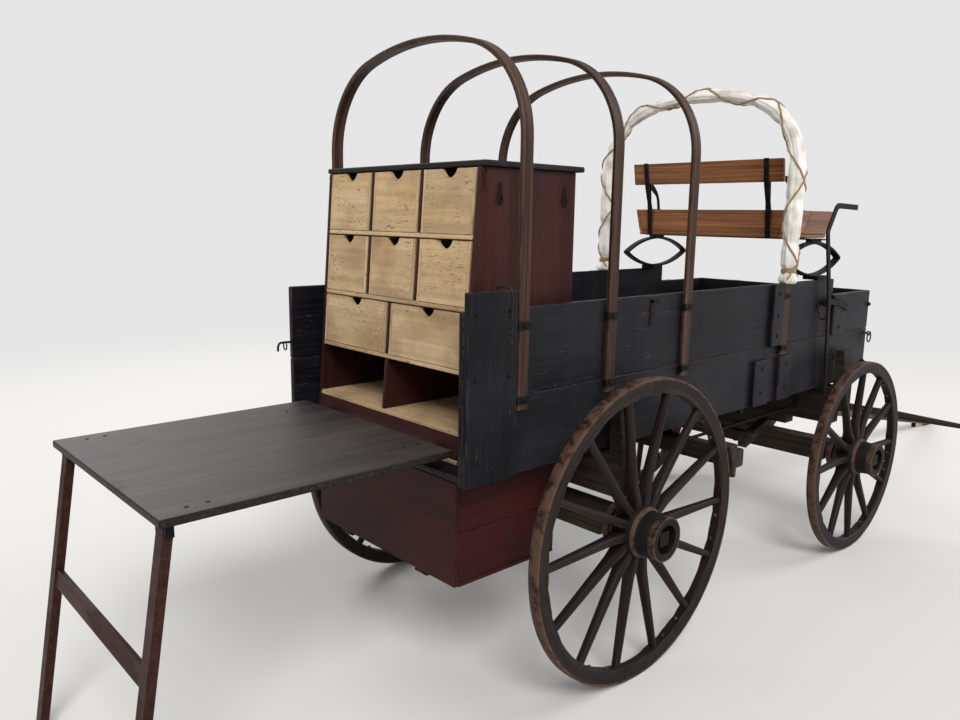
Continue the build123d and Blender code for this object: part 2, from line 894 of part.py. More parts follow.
with BuildPart() as case:
    add(sloped(-chuck_half_width, -side_wall, case_front, floor_top, chuck_top))
    add(sloped(side_wall, chuck_half_width, case_front, floor_top, chuck_top))
    block(-side_wall, side_wall, case_front, shelf_front, floor_top, chuck_top)
save(case, "chuck_box")

with BuildPart() as shelf_boards:
    for top in shelves:
        add(sloped(-side_wall, side_wall, shelf_front, top - shelf_thick, top))
save(shelf_boards, "chuck_shelves")

with BuildPart() as dividers:
    for low, high, count, drawers in compartments:
        centres, width = columns(count)
        for x in centres[:-1]:
            add(sloped(x + width / 2, x + width / 2 + shelf_thick, shelf_front, low, high))
    kick_front = rear_y + face_at(shelves[3]) - chuck_wall
    add(sloped(-side_wall, side_wall, kick_front, shelves[4], shelves[3] - shelf_thick))
save(dividers, "chuck_dividers")

lid_side = chuck_half_width + chuck_lid_overhang
with BuildPart() as lid:
    block(
        -lid_side,
        lid_side,
        rear_y + chuck_lid_front,
        rear_y + chuck_lid_rear,
        chuck_top,
        chuck_top + chuck_lid_thick,
    )
save(lid, "chuck_box_top")

drawer_number = 0
for low, high, count, drawers in compartments:
    if not drawers:
        continue
    centres, width = columns(count)
    for x in centres:
        drawer_number += 1
        bottom, top = low + fit_gap, high - drawer_gap
        half = width / 2 - drawer_gap
        deep = shelf_front + drawer_gap
        inner_rear = rear_y + face_at(top) - drawer_front
        with BuildPart() as drawer:
            add(sloped(x - half, x + half, deep, bottom, top))
            with Locations((x, (deep + drawer_wall + inner_rear) / 2, bottom + drawer_wall + high / 2)):
                Box(2 * (half - drawer_wall), inner_rear - deep - drawer_wall, high, mode=Mode.SUBTRACT)
            with Locations(Plane(origin=(x, inner_rear + drawer_front, top + notch_drop), z_dir=(0, 1, 0))):
                Cylinder(notch_radius, 4 * drawer_front, mode=Mode.SUBTRACT)
        save(drawer, f"drawer_{drawer_number}")

# Drop table: folds up over the drawers about the rod below the case's face
hinge_y = rear_y + hinge_back
hinge_axis_z = hinge_z - strap_thick
knuckle_radius = hinge_rod_radius + knuckle_wall
table_rear = rear_y + table_end
with BuildPart() as table:
    table_front = hinge_y + knuckle_radius + knuckle_gap
    block(-table_half_width, table_half_width, table_front, table_rear, hinge_z, table_top)
    for side in (-1, 1):
        x = side * batten_place
        block(
            x - batten_width / 2,
            x + batten_width / 2,
            hinge_y + strap_length + batten_clear,
            table_rear - batten_end,
            hinge_z - batten_thick,
            hinge_z,
        )
save(table, "drop_table")

leg_pivot_y = rear_y + leg_pivot_back
with BuildPart() as table_irons:
    for x in knuckle_places:
        with BuildSketch(Plane.YZ.offset(x - knuckle_width / 2)):
            with Locations((hinge_y, hinge_axis_z)):
                RegularPolygon(knuckle_radius, 8, rotation=22.5)
            with Locations((hinge_y + strap_length / 2, hinge_z - strap_thick / 2)):
                Rectangle(strap_length, strap_thick)
            with Locations((hinge_y, hinge_axis_z)):
                Circle(hinge_rod_radius + fit_gap, mode=Mode.SUBTRACT)
        extrude(amount=knuckle_width)
    for side in (-1, 1):
        with Locations(Plane(origin=(side * leg_place, leg_pivot_y, leg_pivot_z), z_dir=(1, 0, 0))):
            Cylinder(leg_pivot_radius, leg_width + 2 * ear_gap + ear_thick)
        for edge in (-1, 1):
            x = side * leg_place + edge * (leg_width / 2 + ear_gap)
            block(
                x - ear_thick / 2,
                x + ear_thick / 2,
                leg_pivot_y - ear_half,
                leg_pivot_y + ear_half,
                leg_pivot_z - ear_drop,
                hinge_z,
            )
save(table_irons, "table_irons")

# Table legs: splayed pair on one pivot rod, joined by a rail
splay = radians(leg_splay)
with BuildPart() as legs:
    for side in (-1, 1):
        x = side * leg_place
        with BuildSketch(Plane.YZ.offset(x - leg_width / 2)):
            lean = leg_head * tan(splay)
            with BuildLine():
                Polyline(
                    (leg_pivot_y - lean - leg_half_foot, leg_pivot_z + leg_head),
                    (leg_pivot_y - lean + leg_half_foot, leg_pivot_z + leg_head),
                    (rear_y + leg_foot_back + leg_half_foot, 0),
                    (rear_y + leg_foot_back - leg_half_foot, 0),
                    close=True,
                )
            make_face()
        extrude(amount=leg_width)
        with Locations(Plane(origin=(x, leg_pivot_y, leg_pivot_z), z_dir=(1, 0, 0))):
            Cylinder(leg_pivot_radius + fit_gap, 2 * leg_width, mode=Mode.SUBTRACT)
    rail_plane = Plane(
        origin=(0, leg_pivot_y + rail_drop * sin(splay), leg_pivot_z - rail_drop * cos(splay)),
        x_dir=(1, 0, 0),
        z_dir=(0, sin(splay), -cos(splay)),
    )
    with Locations(rail_plane):
        Box(2 * leg_place, leg_rail_thick, leg_rail_height)
save(legs, "table_legs")

# Boot: the box for pans slung under the floor, with a door at its rear
with BuildPart() as boot:
    block(-boot_half_width, boot_half_width, rear_y + boot_front, rear_y + boot_rear, boot_bottom, bolster_top)
    with Locations((0, rear_y + boot_front + boot_wall + boot_rear / 2, (boot_bottom + bolster_top) / 2)):
        Box(
            2 * (boot_half_width - boot_wall),
            boot_rear,
            bolster_top - boot_bottom - 2 * boot_wall,
            mode=Mode.SUBTRACT,
        )
save(boot, "boot")
door_y = rear_y + boot_rear + door_gap
door_pin_y = door_y + boot_wall / 2
with BuildPart() as boot_door:
    block(
        -boot_half_width,
        boot_half_width,
        door_y,
        door_y + boot_wall,
        boot_bottom + door_knuckle_half - door_bite,
        bolster_top - door_top_gap,
    )
    for side in (-1, 1):
        with BuildSketch(Plane.YZ.offset(side * door_hinge_place - knuckle_width / 2)):
            with Locations((door_pin_y, boot_bottom)):
                RegularPolygon(door_knuckle_half, 8, major_radius=False, rotation=22.5)
                Circle(door_pin_radius + fit_gap, mode=Mode.SUBTRACT)
        extrude(amount=knuckle_width)
save(boot_door, "boot_door")

# Hinge irons: the table's rod with its brackets, and the boot door's pins on brackets under the boot
with BuildPart() as hinge_irons:
    pin_length = knuckle_width + 2 * (knuckle_gap + bracket_width)
    for x in knuckle_places:
        with Locations(Plane(origin=(x, hinge_y, hinge_axis_z), z_dir=(1, 0, 0))):
            Cylinder(hinge_rod_radius, pin_length)
        for edge in (-1, 1):
            middle = x + edge * (knuckle_width / 2 + knuckle_gap + bracket_width / 2)
            block(
                middle - bracket_width / 2,
                middle + bracket_width / 2,
                rear_y + face_at(hinge_axis_z - bracket_half),
                hinge_y + hinge_rod_radius - 2,
                hinge_axis_z - bracket_half,
                hinge_axis_z + bracket_half,
            )
    for side in (-1, 1):
        x = side * door_hinge_place
        with Locations(Plane(origin=(x, door_pin_y, boot_bottom), z_dir=(1, 0, 0))):
            Cylinder(door_pin_radius, pin_length)
        for edge in (-1, 1):
            middle = x + edge * (knuckle_width / 2 + knuckle_gap + bracket_width / 2)
            block(
                middle - bracket_width / 2,
                middle + bracket_width / 2,
                door_y - bracket_reach,
                door_pin_y + door_pin_radius,
                boot_bottom - door_pin_radius - bracket_wall,
                boot_bottom,
            )
save(hinge_irons, "hinge_irons")

# Seat: sprung bench across the sides
seat_y = front_y + seat_rear
seat_front_y = seat_y - seat_depth
seat_top = seat_bottom + seat_height
with BuildPart() as seat:
    block(-seat_half_length, seat_half_length, seat_front_y, seat_y, seat_bottom, seat_bottom + seat_board)
    block(-seat_half_length, seat_half_length, seat_y - seat_board, seat_y, seat_bottom, seat_top)
    for side in (-1, 1):
        x = side * (seat_half_length - seat_board)
        block(x, side * seat_half_length, seat_front_y, seat_y, seat_bottom, seat_top)
    block(
        -rail_half_length,
        rail_half_length,
        seat_y + stay_thick,
        seat_y + stay_thick + seat_board,
        rail_bottom,
        rail_bottom + rail_height,
    )
save(seat, "seat_boards")

# Seat irons: stays and arms of the back rail, and on each side two bowed leaves joined at their ends
spring_mid = (side_top + seat_bottom) / 2
spring_rise = (seat_bottom - side_top) / 2 - spring_block
spring_y = seat_y - seat_depth / 2
arm_plane_x = rail_half_length - arm_width
arm_tail_y = seat_y + stay_thick
arm_nose_y = arm_tail_y - arm_run
with BuildPart() as seat_irons:
    for side in (-1, 1):
        x = side * stay_place
        rail_top = rail_bottom + rail_height
        block(x - stay_width / 2, x + stay_width / 2, seat_y, seat_y + stay_thick, seat_bottom, rail_top)
        arm_points = (
            (arm_tail_y, rail_bottom + arm_rise),
            (arm_nose_y, rail_bottom + arm_rise),
            (arm_nose_y, seat_top),
        )
        near, far = sorted((side * arm_plane_x, side * rail_half_length))
        add(bent_iron(Plane.YZ.offset(near), arm_points, arm_bend, arm_thick, arm_width))
        block(
            side * arm_plane_x,
            side * seat_half_length,
            arm_nose_y - arm_foot / 2,
            arm_nose_y + arm_foot / 2,
            seat_top,
            seat_top + stay_thick,
        )
        with BuildSketch(Plane.YZ.offset(side * spring_x - spring_width / 2)):
            for way in (-1, 1):
                with BuildLine():
                    low = ThreePointArc(
                        (spring_y - spring_length / 2, spring_mid - spring_leaf),
                        (spring_y, spring_mid + way * spring_rise - spring_leaf),
                        (spring_y + spring_length / 2, spring_mid - spring_leaf),
                    )
                    high = ThreePointArc(
                        (spring_y + spring_length / 2, spring_mid + spring_leaf),
                        (spring_y, spring_mid + way * spring_rise + spring_leaf),
                        (spring_y - spring_length / 2, spring_mid + spring_leaf),
                    )
                    Line(low @ 1, high @ 0)
                    Line(high @ 1, low @ 0)
                make_face()
        extrude(amount=spring_width)
        block(
            side * (spring_x - spring_width / 2),
            side * (spring_x + spring_width / 2),
            spring_y - spring_seat / 2,
            spring_y + spring_seat / 2,
            spring_mid + spring_rise,
            seat_bottom,
        )
        block(
            side * (spring_x - spring_width / 2),
            side * box_half_width,
            spring_y - spring_seat / 2,
            spring_y + spring_seat / 2,
            side_top,
            spring_mid - spring_rise,
        )
save(seat_irons, "seat_irons")

# Brake: lever and rocker shaft on the right, rod, and a beam with shoes ahead of the rear wheels
beam_y = rear_y + beam_back
beam_top = reach_top + beam_clear + beam_height
shoe_z = beam_top - beam_height / 2
quadrant_near = -(box_half_width + cleat_thick)
lever_near = quadrant_near - quadrant_thick - lever_gap
lever_far = lever_near - lever_thick
rocker_y = front_y + rocker_back


def on_quadrant(radius, angle):
    # A point round the rocker shaft, the angle in degrees ahead of upright
    return rocker_y - radius * sin(radians(angle)), rocker_z + radius * cos(radians(angle))


with BuildPart() as brake_irons:
    lever_points = [(front_y + back, z) for back, z in lever_line]
    add(bent_iron(Plane.YZ.offset(lever_far), lever_points, lever_bend, lever_width, lever_thick))
    first, last = quadrant_sweep
    pitch = (last - first) / quadrant_teeth
    rim = []
    for tooth in range(quadrant_teeth):
        rim.append(on_quadrant(quadrant_radius - tooth_depth, first + tooth * pitch))
        rim.append(on_quadrant(quadrant_radius, first + tooth * pitch))
    rim.append(on_quadrant(quadrant_radius - tooth_depth, last))
    under = quadrant_radius - quadrant_width
    with BuildSketch(Plane.YZ.offset(quadrant_near - quadrant_thick)):
        with BuildLine():
            Polyline(*rim)
            Line(rim[-1], on_quadrant(under, last))
            inner_mid = on_quadrant(under, (first + last) / 2)
            ThreePointArc(on_quadrant(under, last), inner_mid, on_quadrant(under, first))
            Line(on_quadrant(under, first), rim[0])
        make_face()
    extrude(amount=quadrant_thick)
    spacer_y, spacer_z = on_quadrant(quadrant_radius - quadrant_width / 2, first + pitch)
    block(
        quadrant_near,
        -box_half_width,
        spacer_y - spacer / 2,
        spacer_y + spacer / 2,
        spacer_z - spacer / 2,
        spacer_z + spacer / 2,
    )
    rocker_start, rocker_end = lever_far, rod_half - rod_place + rocker_proud
    with Locations(Plane(origin=((rocker_start + rocker_end) / 2, rocker_y, rocker_z), z_dir=(1, 0, 0))):
        Cylinder(rocker_radius, rocker_end - rocker_start)
    block(
        -rod_place - rod_half,
        -rod_place + rod_half,
        rocker_y - rocker_arm / 2,
        rocker_y + rocker_arm / 2,
        rod_z - rocker_arm / 2,
        rocker_z,
    )
    with Locations((-rod_place, (rocker_y + beam_y) / 2, rod_z)):
        Box(2 * rod_half, beam_y - rocker_y, 2 * rod_half)
    for side in (-1, 1):
        x = side * hanger_place
        block(
            x - hanger_width / 2,
            x + hanger_width / 2,
            beam_y + (beam_width - hanger_thick) / 2,
            beam_y + (beam_width + hanger_thick) / 2,
            beam_top,
            bolster_top,
        )
    block(
        -inner_half_width,
        -inner_half_width + rocker_bracket[0],
        rocker_y - rocker_bracket[1] / 2,
        rocker_y + rocker_bracket[1] / 2,
        rocker_z,
        bolster_top,
    )
save(brake_irons, "brake_irons")

with BuildPart() as brake_beam:
    block(-beam_end, beam_end, beam_y, beam_y + beam_width, beam_top - beam_height, beam_top)
    for side in (-1, 1):
        x = side * half_track
        block(
            x - shoe_half_width,
            x + shoe_half_width,
            beam_y + beam_width,
            beam_y + beam_width + shoe_block,
            shoe_z - shoe_half_height,
            shoe_z + shoe_half_height,
        )
        with Locations(Plane(origin=(x, rear_y, rear_radius), z_dir=(1, 0, 0))):
            Cylinder(rear_radius + shoe_gap, 3 * shoe_half_width, mode=Mode.SUBTRACT)
save(brake_beam, "brake_beam")
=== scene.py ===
import json
import math
import random

import bmesh
import bpy
import numpy as np
from mathutils import Matrix, Vector


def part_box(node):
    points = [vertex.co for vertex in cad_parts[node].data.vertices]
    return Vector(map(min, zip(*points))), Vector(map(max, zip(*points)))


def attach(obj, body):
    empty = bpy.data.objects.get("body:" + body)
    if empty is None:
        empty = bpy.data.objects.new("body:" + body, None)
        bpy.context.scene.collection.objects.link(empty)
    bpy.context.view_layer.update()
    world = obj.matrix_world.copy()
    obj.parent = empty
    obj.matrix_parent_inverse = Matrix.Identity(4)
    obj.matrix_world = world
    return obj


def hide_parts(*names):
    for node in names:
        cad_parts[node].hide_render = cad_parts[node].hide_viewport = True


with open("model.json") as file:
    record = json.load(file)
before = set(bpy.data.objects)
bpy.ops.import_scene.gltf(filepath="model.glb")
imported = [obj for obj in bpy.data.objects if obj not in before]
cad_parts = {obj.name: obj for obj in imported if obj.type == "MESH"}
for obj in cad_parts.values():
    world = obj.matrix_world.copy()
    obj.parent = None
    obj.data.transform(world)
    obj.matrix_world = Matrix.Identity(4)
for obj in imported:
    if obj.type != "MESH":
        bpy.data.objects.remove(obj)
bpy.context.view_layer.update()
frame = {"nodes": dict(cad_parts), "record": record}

scene = bpy.context.scene
bodyOf = {node: body for body, nodes in frame["record"]["behaviour"]["bodies"].items() for node in nodes}
slotOf = {part["node"]: part["material_slot"] for part in frame["record"]["subparts"]}
slotOf["chuck_dividers"] = "chuck_paint"  # the upright dividers show brown between the cream drawers
rearLow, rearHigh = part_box("wheel_rear_right")
rearY = ((rearLow + rearHigh) / 2).y  # the rear axle: places along the wagon are counted from it
fullTurn = 2 * math.pi


def linear(colour):
    # sRGB hex to the linear values a shader takes
    parts = [int(colour[i:i + 2], 16) / 255 for i in (1, 3, 5)]
    return [p / 12.92 if p <= 0.04045 else ((p + 0.055) / 1.055) ** 2.4 for p in parts] + [1.0]


def addNode(tree, kind, inputs=(), output=0, stops=(), **settings):
    # Adds a node with its settings and gives back one of its outputs. Inputs come in the node's own
    # order or by name, each a value, a hex colour or another node's output; stops are a ramp's colours.
    # A Mix node blends numbers from inputs 2 and 3, and colours from 6 and 7 into output 2
    node = tree.nodes.new("ShaderNode" + kind)
    for key, value in settings.items():
        setattr(node, key, value)
    for key, value in inputs.items() if isinstance(inputs, dict) else enumerate(inputs):
        if isinstance(value, bpy.types.NodeSocket):
            tree.links.new(value, node.inputs[key])
        else:
            node.inputs[key].default_value = linear(value) if isinstance(value, str) else value
    for i in range(len(stops) - 2):
        node.color_ramp.elements.new(0.5)
    for i, (place, colour) in enumerate(stops):
        node.color_ramp.elements[i].position = place
        node.color_ramp.elements[i].color = linear(colour)
    return node.outputs[output] if node.outputs else node


def newMaterial(name):
    material = bpy.data.materials.new(name)
    material.use_nodes = True
    material.node_tree.nodes.clear()
    return material, material.node_tree


def grainNoise(tree, along, across, detail=6.0, shift=0.0, rough=0.6):
    # Noise in a board's own coordinates: its features are about along by across millimetres
    grain = addNode(tree, "Attribute", output="Vector", attribute_name="grain", attribute_type="GEOMETRY")
    scale = (1000 / along, 1000 / across, 1000 / across)
    place = addNode(tree, "Mapping", {"Vector": grain, "Location": (shift, shift, shift), "Scale": scale})
    return addNode(tree, "TexNoise", {"Vector": place, "Scale": 1.0, "Detail": detail, "Roughness": rough})


def edgeMask(tree, radius):
    # How far the surface turns within a radius: none on a flat, all on an edge
    rounded = addNode(tree, "Bevel", {"Radius": radius}, samples=4)
    straight = addNode(tree, "NewGeometry", output="Normal")
    turn = addNode(tree, "VectorMath", (rounded, straight), "Value", operation="DOT_PRODUCT")
    return addNode(tree, "MapRange", (turn, 0.99, 0.88))


# A board's finish where its own values don't say; fibre and pitch are millimetres along and across
plainBoard = {
    "fibre": 160, "pitch": 5, "crackFrom": 0.63, "crack": 0.4, "dirt": 0.35, "edge": 0.005, "wear": 0.8,
    "sides": None, "rough": (0.55, 0.8), "bump": 0.55, "depth": 0.0011, "gloss": 0.14, "coat": 0.0,
}


def boardMaterial(name, **own):
    # Bare or oiled board: growth bands, fine fibres, open cracks, rubbed edges, each board its own tone
    look = {**plainBoard, **own}
    material, tree = newMaterial(name)
    fibre, pitch = look["fibre"], look["pitch"]
    bands = grainNoise(tree, fibre * 6, pitch * 7, 3, 3.1)
    figure = grainNoise(tree, fibre * 2.2, pitch * 1.6, 5, 1.3, 0.55)
    fibres = grainNoise(tree, fibre * 0.45, pitch * 0.34, 4, 0.4, 0.7)
    cracks = grainNoise(tree, fibre * 1.6, pitch * 0.5, 3, 7.7, 0.5)
    body = addNode(tree, "Mix", {0: 0.55, 2: bands, 3: figure})
    stops = [(0.38, look["dark"]), (0.50, look["mid"]), (0.61, look["light"])]
    colour = addNode(tree, "ValToRGB", [body], stops=stops)
    ownTone = addNode(tree, "Attribute", output="Fac", attribute_name="tone", attribute_type="GEOMETRY")
    tone = addNode(tree, "MapRange", (ownTone, 0, 1, 0.84, 1.14))
    fine = addNode(tree, "MapRange", (fibres, 0.3, 0.7, 0.80, 1.16))
    opened = addNode(tree, "MapRange", (cracks, look["crackFrom"], look["crackFrom"] + 0.04))
    shade = addNode(tree, "MapRange", (opened, 0, 1, 1.0, look["crack"]))
    tone = addNode(tree, "Math", (tone, fine), operation="MULTIPLY")
    tone = addNode(tree, "Math", (tone, shade), operation="MULTIPLY")
    colour = addNode(tree, "HueSaturation", {"Value": tone, "Color": colour})
    dirt = addNode(tree, "MapRange", (grainNoise(tree, 420, 260, 4, 6.3, 0.6), 0.46, 0.66))
    soiled = addNode(tree, "Math", (dirt, look["dirt"]), operation="MULTIPLY")
    colour = addNode(tree, "Mix", {0: soiled, 6: colour, 7: look["soil"]}, 2, data_type="RGBA")
    # Edges take the worn colour; on the bows this light colour is partly a painted sunlit highlight
    patchy = addNode(tree, "MapRange", (grainNoise(tree, 70, 26, 4, 1.9), 0.36, 0.6))
    worn = addNode(tree, "Math", (edgeMask(tree, look["edge"]), patchy), operation="MULTIPLY")
    worn = addNode(tree, "Math", (worn, look["wear"]), operation="MULTIPLY", use_clamp=True)
    colour = addNode(tree, "Mix", {0: worn, 6: colour, 7: look["worn"]}, 2, data_type="RGBA")
    if look["sides"]:
        # The sawn edges of a flat board, dark and crumbly
        upward = addNode(tree, "SeparateXYZ", [addNode(tree, "TexCoord", output="Normal")], "Z")
        flat = addNode(tree, "Math", [upward], operation="ABSOLUTE")
        sides = addNode(tree, "MapRange", (flat, 0.75, 0.45))
        crumbs = addNode(tree, "MapRange", (grainNoise(tree, 9, 6, 4, 5.5, 0.7), 0.50, 0.60, 0, 0.45))
        crumbly = addNode(tree, "Mix", {0: crumbs, 6: look["sides"], 7: look["soil"]}, 2, data_type="RGBA")
        colour = addNode(tree, "Mix", {0: sides, 6: colour, 7: crumbly}, 2, data_type="RGBA")
    grime = addNode(tree, "Math", (fibres, dirt), operation="MAXIMUM")
    rough = addNode(tree, "MapRange", (grime, 0.3, 0.8, *look["rough"]))
    raised = addNode(tree, "Math", (figure, fibres), operation="ADD")
    sunk = addNode(tree, "Math", (opened, 0.9), operation="MULTIPLY")
    height = addNode(tree, "Math", (raised, sunk), operation="SUBTRACT")
    bump = addNode(tree, "Bump", {"Height": height, "Strength": look["bump"], "Distance": look["depth"]})
    shading = {"Base Color": colour, "Roughness": rough, "Normal": bump, "Specular IOR Level": look["gloss"]}
    if look["coat"]:
        shading.update({"Coat Weight": look["coat"], "Coat Roughness": 0.22})
    addNode(tree, "OutputMaterial", {"Surface": addNode(tree, "BsdfPrincipled", shading)})
    return material


# A painted board's finish where its own values don't say; nicks and streaks are in millimetres
plainPaint = {
    "chalk": 0.4, "streakWide": 30, "drips": 0.0, "nicks": 0.64, "nickLong": 34, "nickWide": 4.5,
    "loss": 0.70, "edge": 0.005, "rim": 0.8, "soiled": 0.3, "rough": (0.42, 0.75), "bump": 0.5,
    "depth": 0.0011, "gloss": 0.14,
}


def paintMaterial(name, **own):
    # Brushed paint on boards: faded clouds, grain standing through, nicks along the fibres, bare edges
    look = {**plainPaint, **own}
    material, tree = newMaterial(name)
    fibres = grainNoise(tree, 240, 4.5, 6)
    clouds = addNode(tree, "MapRange", (grainNoise(tree, 620, 190, 4, 5.3, 0.55), 0.36, 0.64))
    paint = addNode(tree, "Mix", {0: clouds, 6: look["paint"], 7: look["faded"]}, 2, data_type="RGBA")
    chalk = addNode(tree, "MapRange", (fibres, 0.48, 0.72, 0.0, look["chalk"]))
    paint = addNode(tree, "Mix", {0: chalk, 6: paint, 7: look["dust"]}, 2, data_type="RGBA")
    ownTone = addNode(tree, "Attribute", output="Fac", attribute_name="tone", attribute_type="GEOMETRY")
    tone = addNode(tree, "MapRange", (ownTone, 0, 1, 0.86, 1.14))
    streaks = grainNoise(tree, 900, look["streakWide"], 3, 2.7)
    streaks = addNode(tree, "MapRange", (streaks, 0.35, 0.65, 0.86, 1.14))
    tone = addNode(tree, "Math", (tone, streaks), operation="MULTIPLY")
    if look["drips"]:
        # Rain streaks down the upright boards
        drips = grainNoise(tree, 95, 1400, 5, 3.6)
        drips = addNode(tree, "MapRange", (drips, 0.38, 0.62, 1 - look["drips"], 1 + look["drips"]))
        tone = addNode(tree, "Math", (tone, drips), operation="MULTIPLY")
    paint = addNode(tree, "HueSaturation", {"Value": tone, "Color": paint})
    bare = addNode(tree, "ValToRGB", [fibres], stops=[(0.38, look["bareDark"]), (0.62, look["bare"])])
    # Where the paint is lost: nicks in places, broader flakes, and patches of the edges
    nicks = grainNoise(tree, look["nickLong"], look["nickWide"], 4, 9.1, 0.62)
    nicks = addNode(tree, "MapRange", (nicks, look["nicks"], look["nicks"] + 0.03))
    where = addNode(tree, "MapRange", (grainNoise(tree, 210, 120, 3, 4.4, 0.6), 0.40, 0.56))
    lost = addNode(tree, "Math", (nicks, where), operation="MULTIPLY")
    flakes = grainNoise(tree, 150, 46, 7, 8.2, 0.68)
    flakes = addNode(tree, "MapRange", (flakes, look["loss"], look["loss"] + 0.02))
    lost = addNode(tree, "Math", (lost, flakes), operation="MAXIMUM")
    patchy = addNode(tree, "MapRange", (grainNoise(tree, 50, 16, 5, 2.2), 0.40, 0.56, 0.0, look["rim"]))
    rim = addNode(tree, "Math", (edgeMask(tree, look["edge"]), patchy), operation="MULTIPLY")
    lost = addNode(tree, "Math", (lost, rim), operation="MAXIMUM", use_clamp=True)
    colour = addNode(tree, "Mix", {0: lost, 6: paint, 7: bare}, 2, data_type="RGBA")
    soil = grainNoise(tree, 330, 240, 5, 6.6, 0.62)
    soil = addNode(tree, "MapRange", (soil, 0.48, 0.68, 0.0, look["soiled"]))
    colour = addNode(tree, "Mix", {0: soil, 6: colour, 7: look["soil"]}, 2, data_type="RGBA")
    dull = addNode(tree, "Math", (lost, fibres), operation="MAXIMUM")
    rough = addNode(tree, "MapRange", (dull, 0.3, 0.9, *look["rough"]))
    raised = addNode(tree, "Math", (fibres, 0.7), operation="MULTIPLY")
    sunk = addNode(tree, "Math", (lost, 0.35), operation="MULTIPLY")
    height = addNode(tree, "Math", (raised, sunk), operation="SUBTRACT")
    bump = addNode(tree, "Bump", {"Height": height, "Strength": look["bump"], "Distance": look["depth"]})
    shading = {"Base Color": colour, "Roughness": rough, "Normal": bump, "Specular IOR Level": look["gloss"]}
    addNode(tree, "OutputMaterial", {"Surface": addNode(tree, "BsdfPrincipled", shading)})
    return material


def ironMaterial(name, **look):
    # Forged iron: hammer dents of about 8 mm, rust patches of about 45 mm, brighter edges that are partly
    # rubbed iron and partly a painted highlight
    material, tree = newMaterial(name)
    place = addNode(tree, "TexCoord", output="Object")
    skin = addNode(tree, "TexNoise", {"Vector": place, "Scale": 120, "Detail": 6})
    patches = addNode(tree, "TexNoise", {"Vector": place, "Scale": 22, "Detail": 8, "Roughness": 0.7})
    rust = addNode(tree, "MapRange", (patches, look["rustFrom"], look["rustFrom"] + 0.12))
    colour = addNode(tree, "Mix", {0: skin, 6: look["dark"], 7: look["light"]}, 2, data_type="RGBA")
    colour = addNode(tree, "Mix", {0: rust, 6: colour, 7: look["rust"]}, 2, data_type="RGBA")
    # Painted highlight: the edges are made lighter, standing for rubbed iron and for sun catching the edges
    edge = addNode(tree, "Math", (edgeMask(tree, 0.003), look["rub"]), operation="MULTIPLY", use_clamp=True)
    colour = addNode(tree, "Mix", {0: edge, 6: colour, 7: look["rubbed"]}, 2, data_type="RGBA")
    metal = addNode(tree, "MapRange", (rust, 0, 1, 0.85, 0.15))
    dull = addNode(tree, "Math", (rust, skin), operation="MAXIMUM")
    rough = addNode(tree, "MapRange", (dull, 0, 1, 0.4, 0.85))
    bump = addNode(tree, "Bump", {"Height": skin, "Strength": 0.35, "Distance": 0.0008})
    shading = {"Base Color": colour, "Metallic": metal, "Roughness": rough, "Normal": bump}
    addNode(tree, "OutputMaterial", {"Surface": addNode(tree, "BsdfPrincipled", shading)})
    return material


def clothMaterial(name, **look):
    # Washed cotton duck: plain weave, soft creases, a few dull stains. Its threads are half a
    # millimetre wide, and are drawn at threadMm, as coarse as they need to be to show
    material, tree = newMaterial(name)
    grain = addNode(tree, "Attribute", output="Vector", attribute_name="grain", attribute_type="GEOMETRY")
    weave = []
    for turned in (0, math.pi / 2):
        place = addNode(tree, "Mapping", {"Vector": grain, "Rotation": (0, 0, turned)})
        waves = {"Vector": place, "Scale": 1000 / look["threadMm"] / 6.283, "Distortion": 0.4, "Detail": 1}
        weave.append(addNode(tree, "TexWave", waves, "Fac"))
    threads = addNode(tree, "Math", weave, operation="MAXIMUM")
    stains = addNode(tree, "TexNoise", {"Vector": grain, "Scale": 9, "Detail": 6})
    fine = addNode(tree, "TexNoise", {"Vector": grain, "Scale": 60, "Detail": 5})
    stops = [(0.38, look["stain"]), (0.52, look["cloth"]), (0.7, look["clean"])]
    colour = addNode(tree, "ValToRGB", [stains], stops=stops)
    faint = addNode(tree, "Math", (fine, 0.3), operation="MULTIPLY")
    colour = addNode(tree, "Mix", {0: faint, 6: colour, 7: look["stain"]}, 2, data_type="RGBA")
    bump = addNode(tree, "Bump", {"Height": threads, "Strength": 0.3, "Distance": 0.0004})
    bump = addNode(tree, "Bump", {"Height": fine, "Strength": 0.4, "Distance": 0.003, "Normal": bump})
    shading = {"Base Color": colour, "Roughness": 0.92, "Sheen Weight": 0.25, "Normal": bump}
    addNode(tree, "OutputMaterial", {"Surface": addNode(tree, "BsdfPrincipled", shading)})
    return material


def ropeMaterial(name, **look):
    # Laid hemp: light fibres about 3 mm apart with dark hollows between them
    material, tree = newMaterial(name)
    grain = addNode(tree, "Attribute", output="Vector", attribute_name="grain", attribute_type="GEOMETRY")
    fibres = addNode(tree, "TexNoise", {"Vector": grain, "Scale": 300, "Detail": 4})
    colour = addNode(tree, "Mix", {0: fibres, 6: look["dark"], 7: look["light"]}, 2, data_type="RGBA")
    bump = addNode(tree, "Bump", {"Height": fibres, "Strength": 0.6, "Distance": 0.0006})
    shading = {"Base Color": colour, "Roughness": 0.9, "Normal": bump}
    addNode(tree, "OutputMaterial", {"Surface": addNode(tree, "BsdfPrincipled", shading)})
    return material


# Nearly black with oil and years of weather, brown where mud and hands have rubbed it
oiledSpoke = boardMaterial(
    "hickory_oiled_and_weathered",
    dark="#0E0A09", mid="#1B1311", light="#2C201B", worn="#5A4336", soil="#2A2320",
    pitch=4, rough=(0.42, 0.7), wear=0.8, dirt=0.12, edge=0.003,
)
# Turned smooth and soaked with axle grease, so it is the darkest wood and shines a little
hubWood = boardMaterial(
    "elm_hub_turned_and_greased",
    dark="#0B0908", mid="#15100F", light="#221A17", worn="#3E322B", soil="#14110F",
    pitch=4, rough=(0.36, 0.62), dirt=0.2,
)
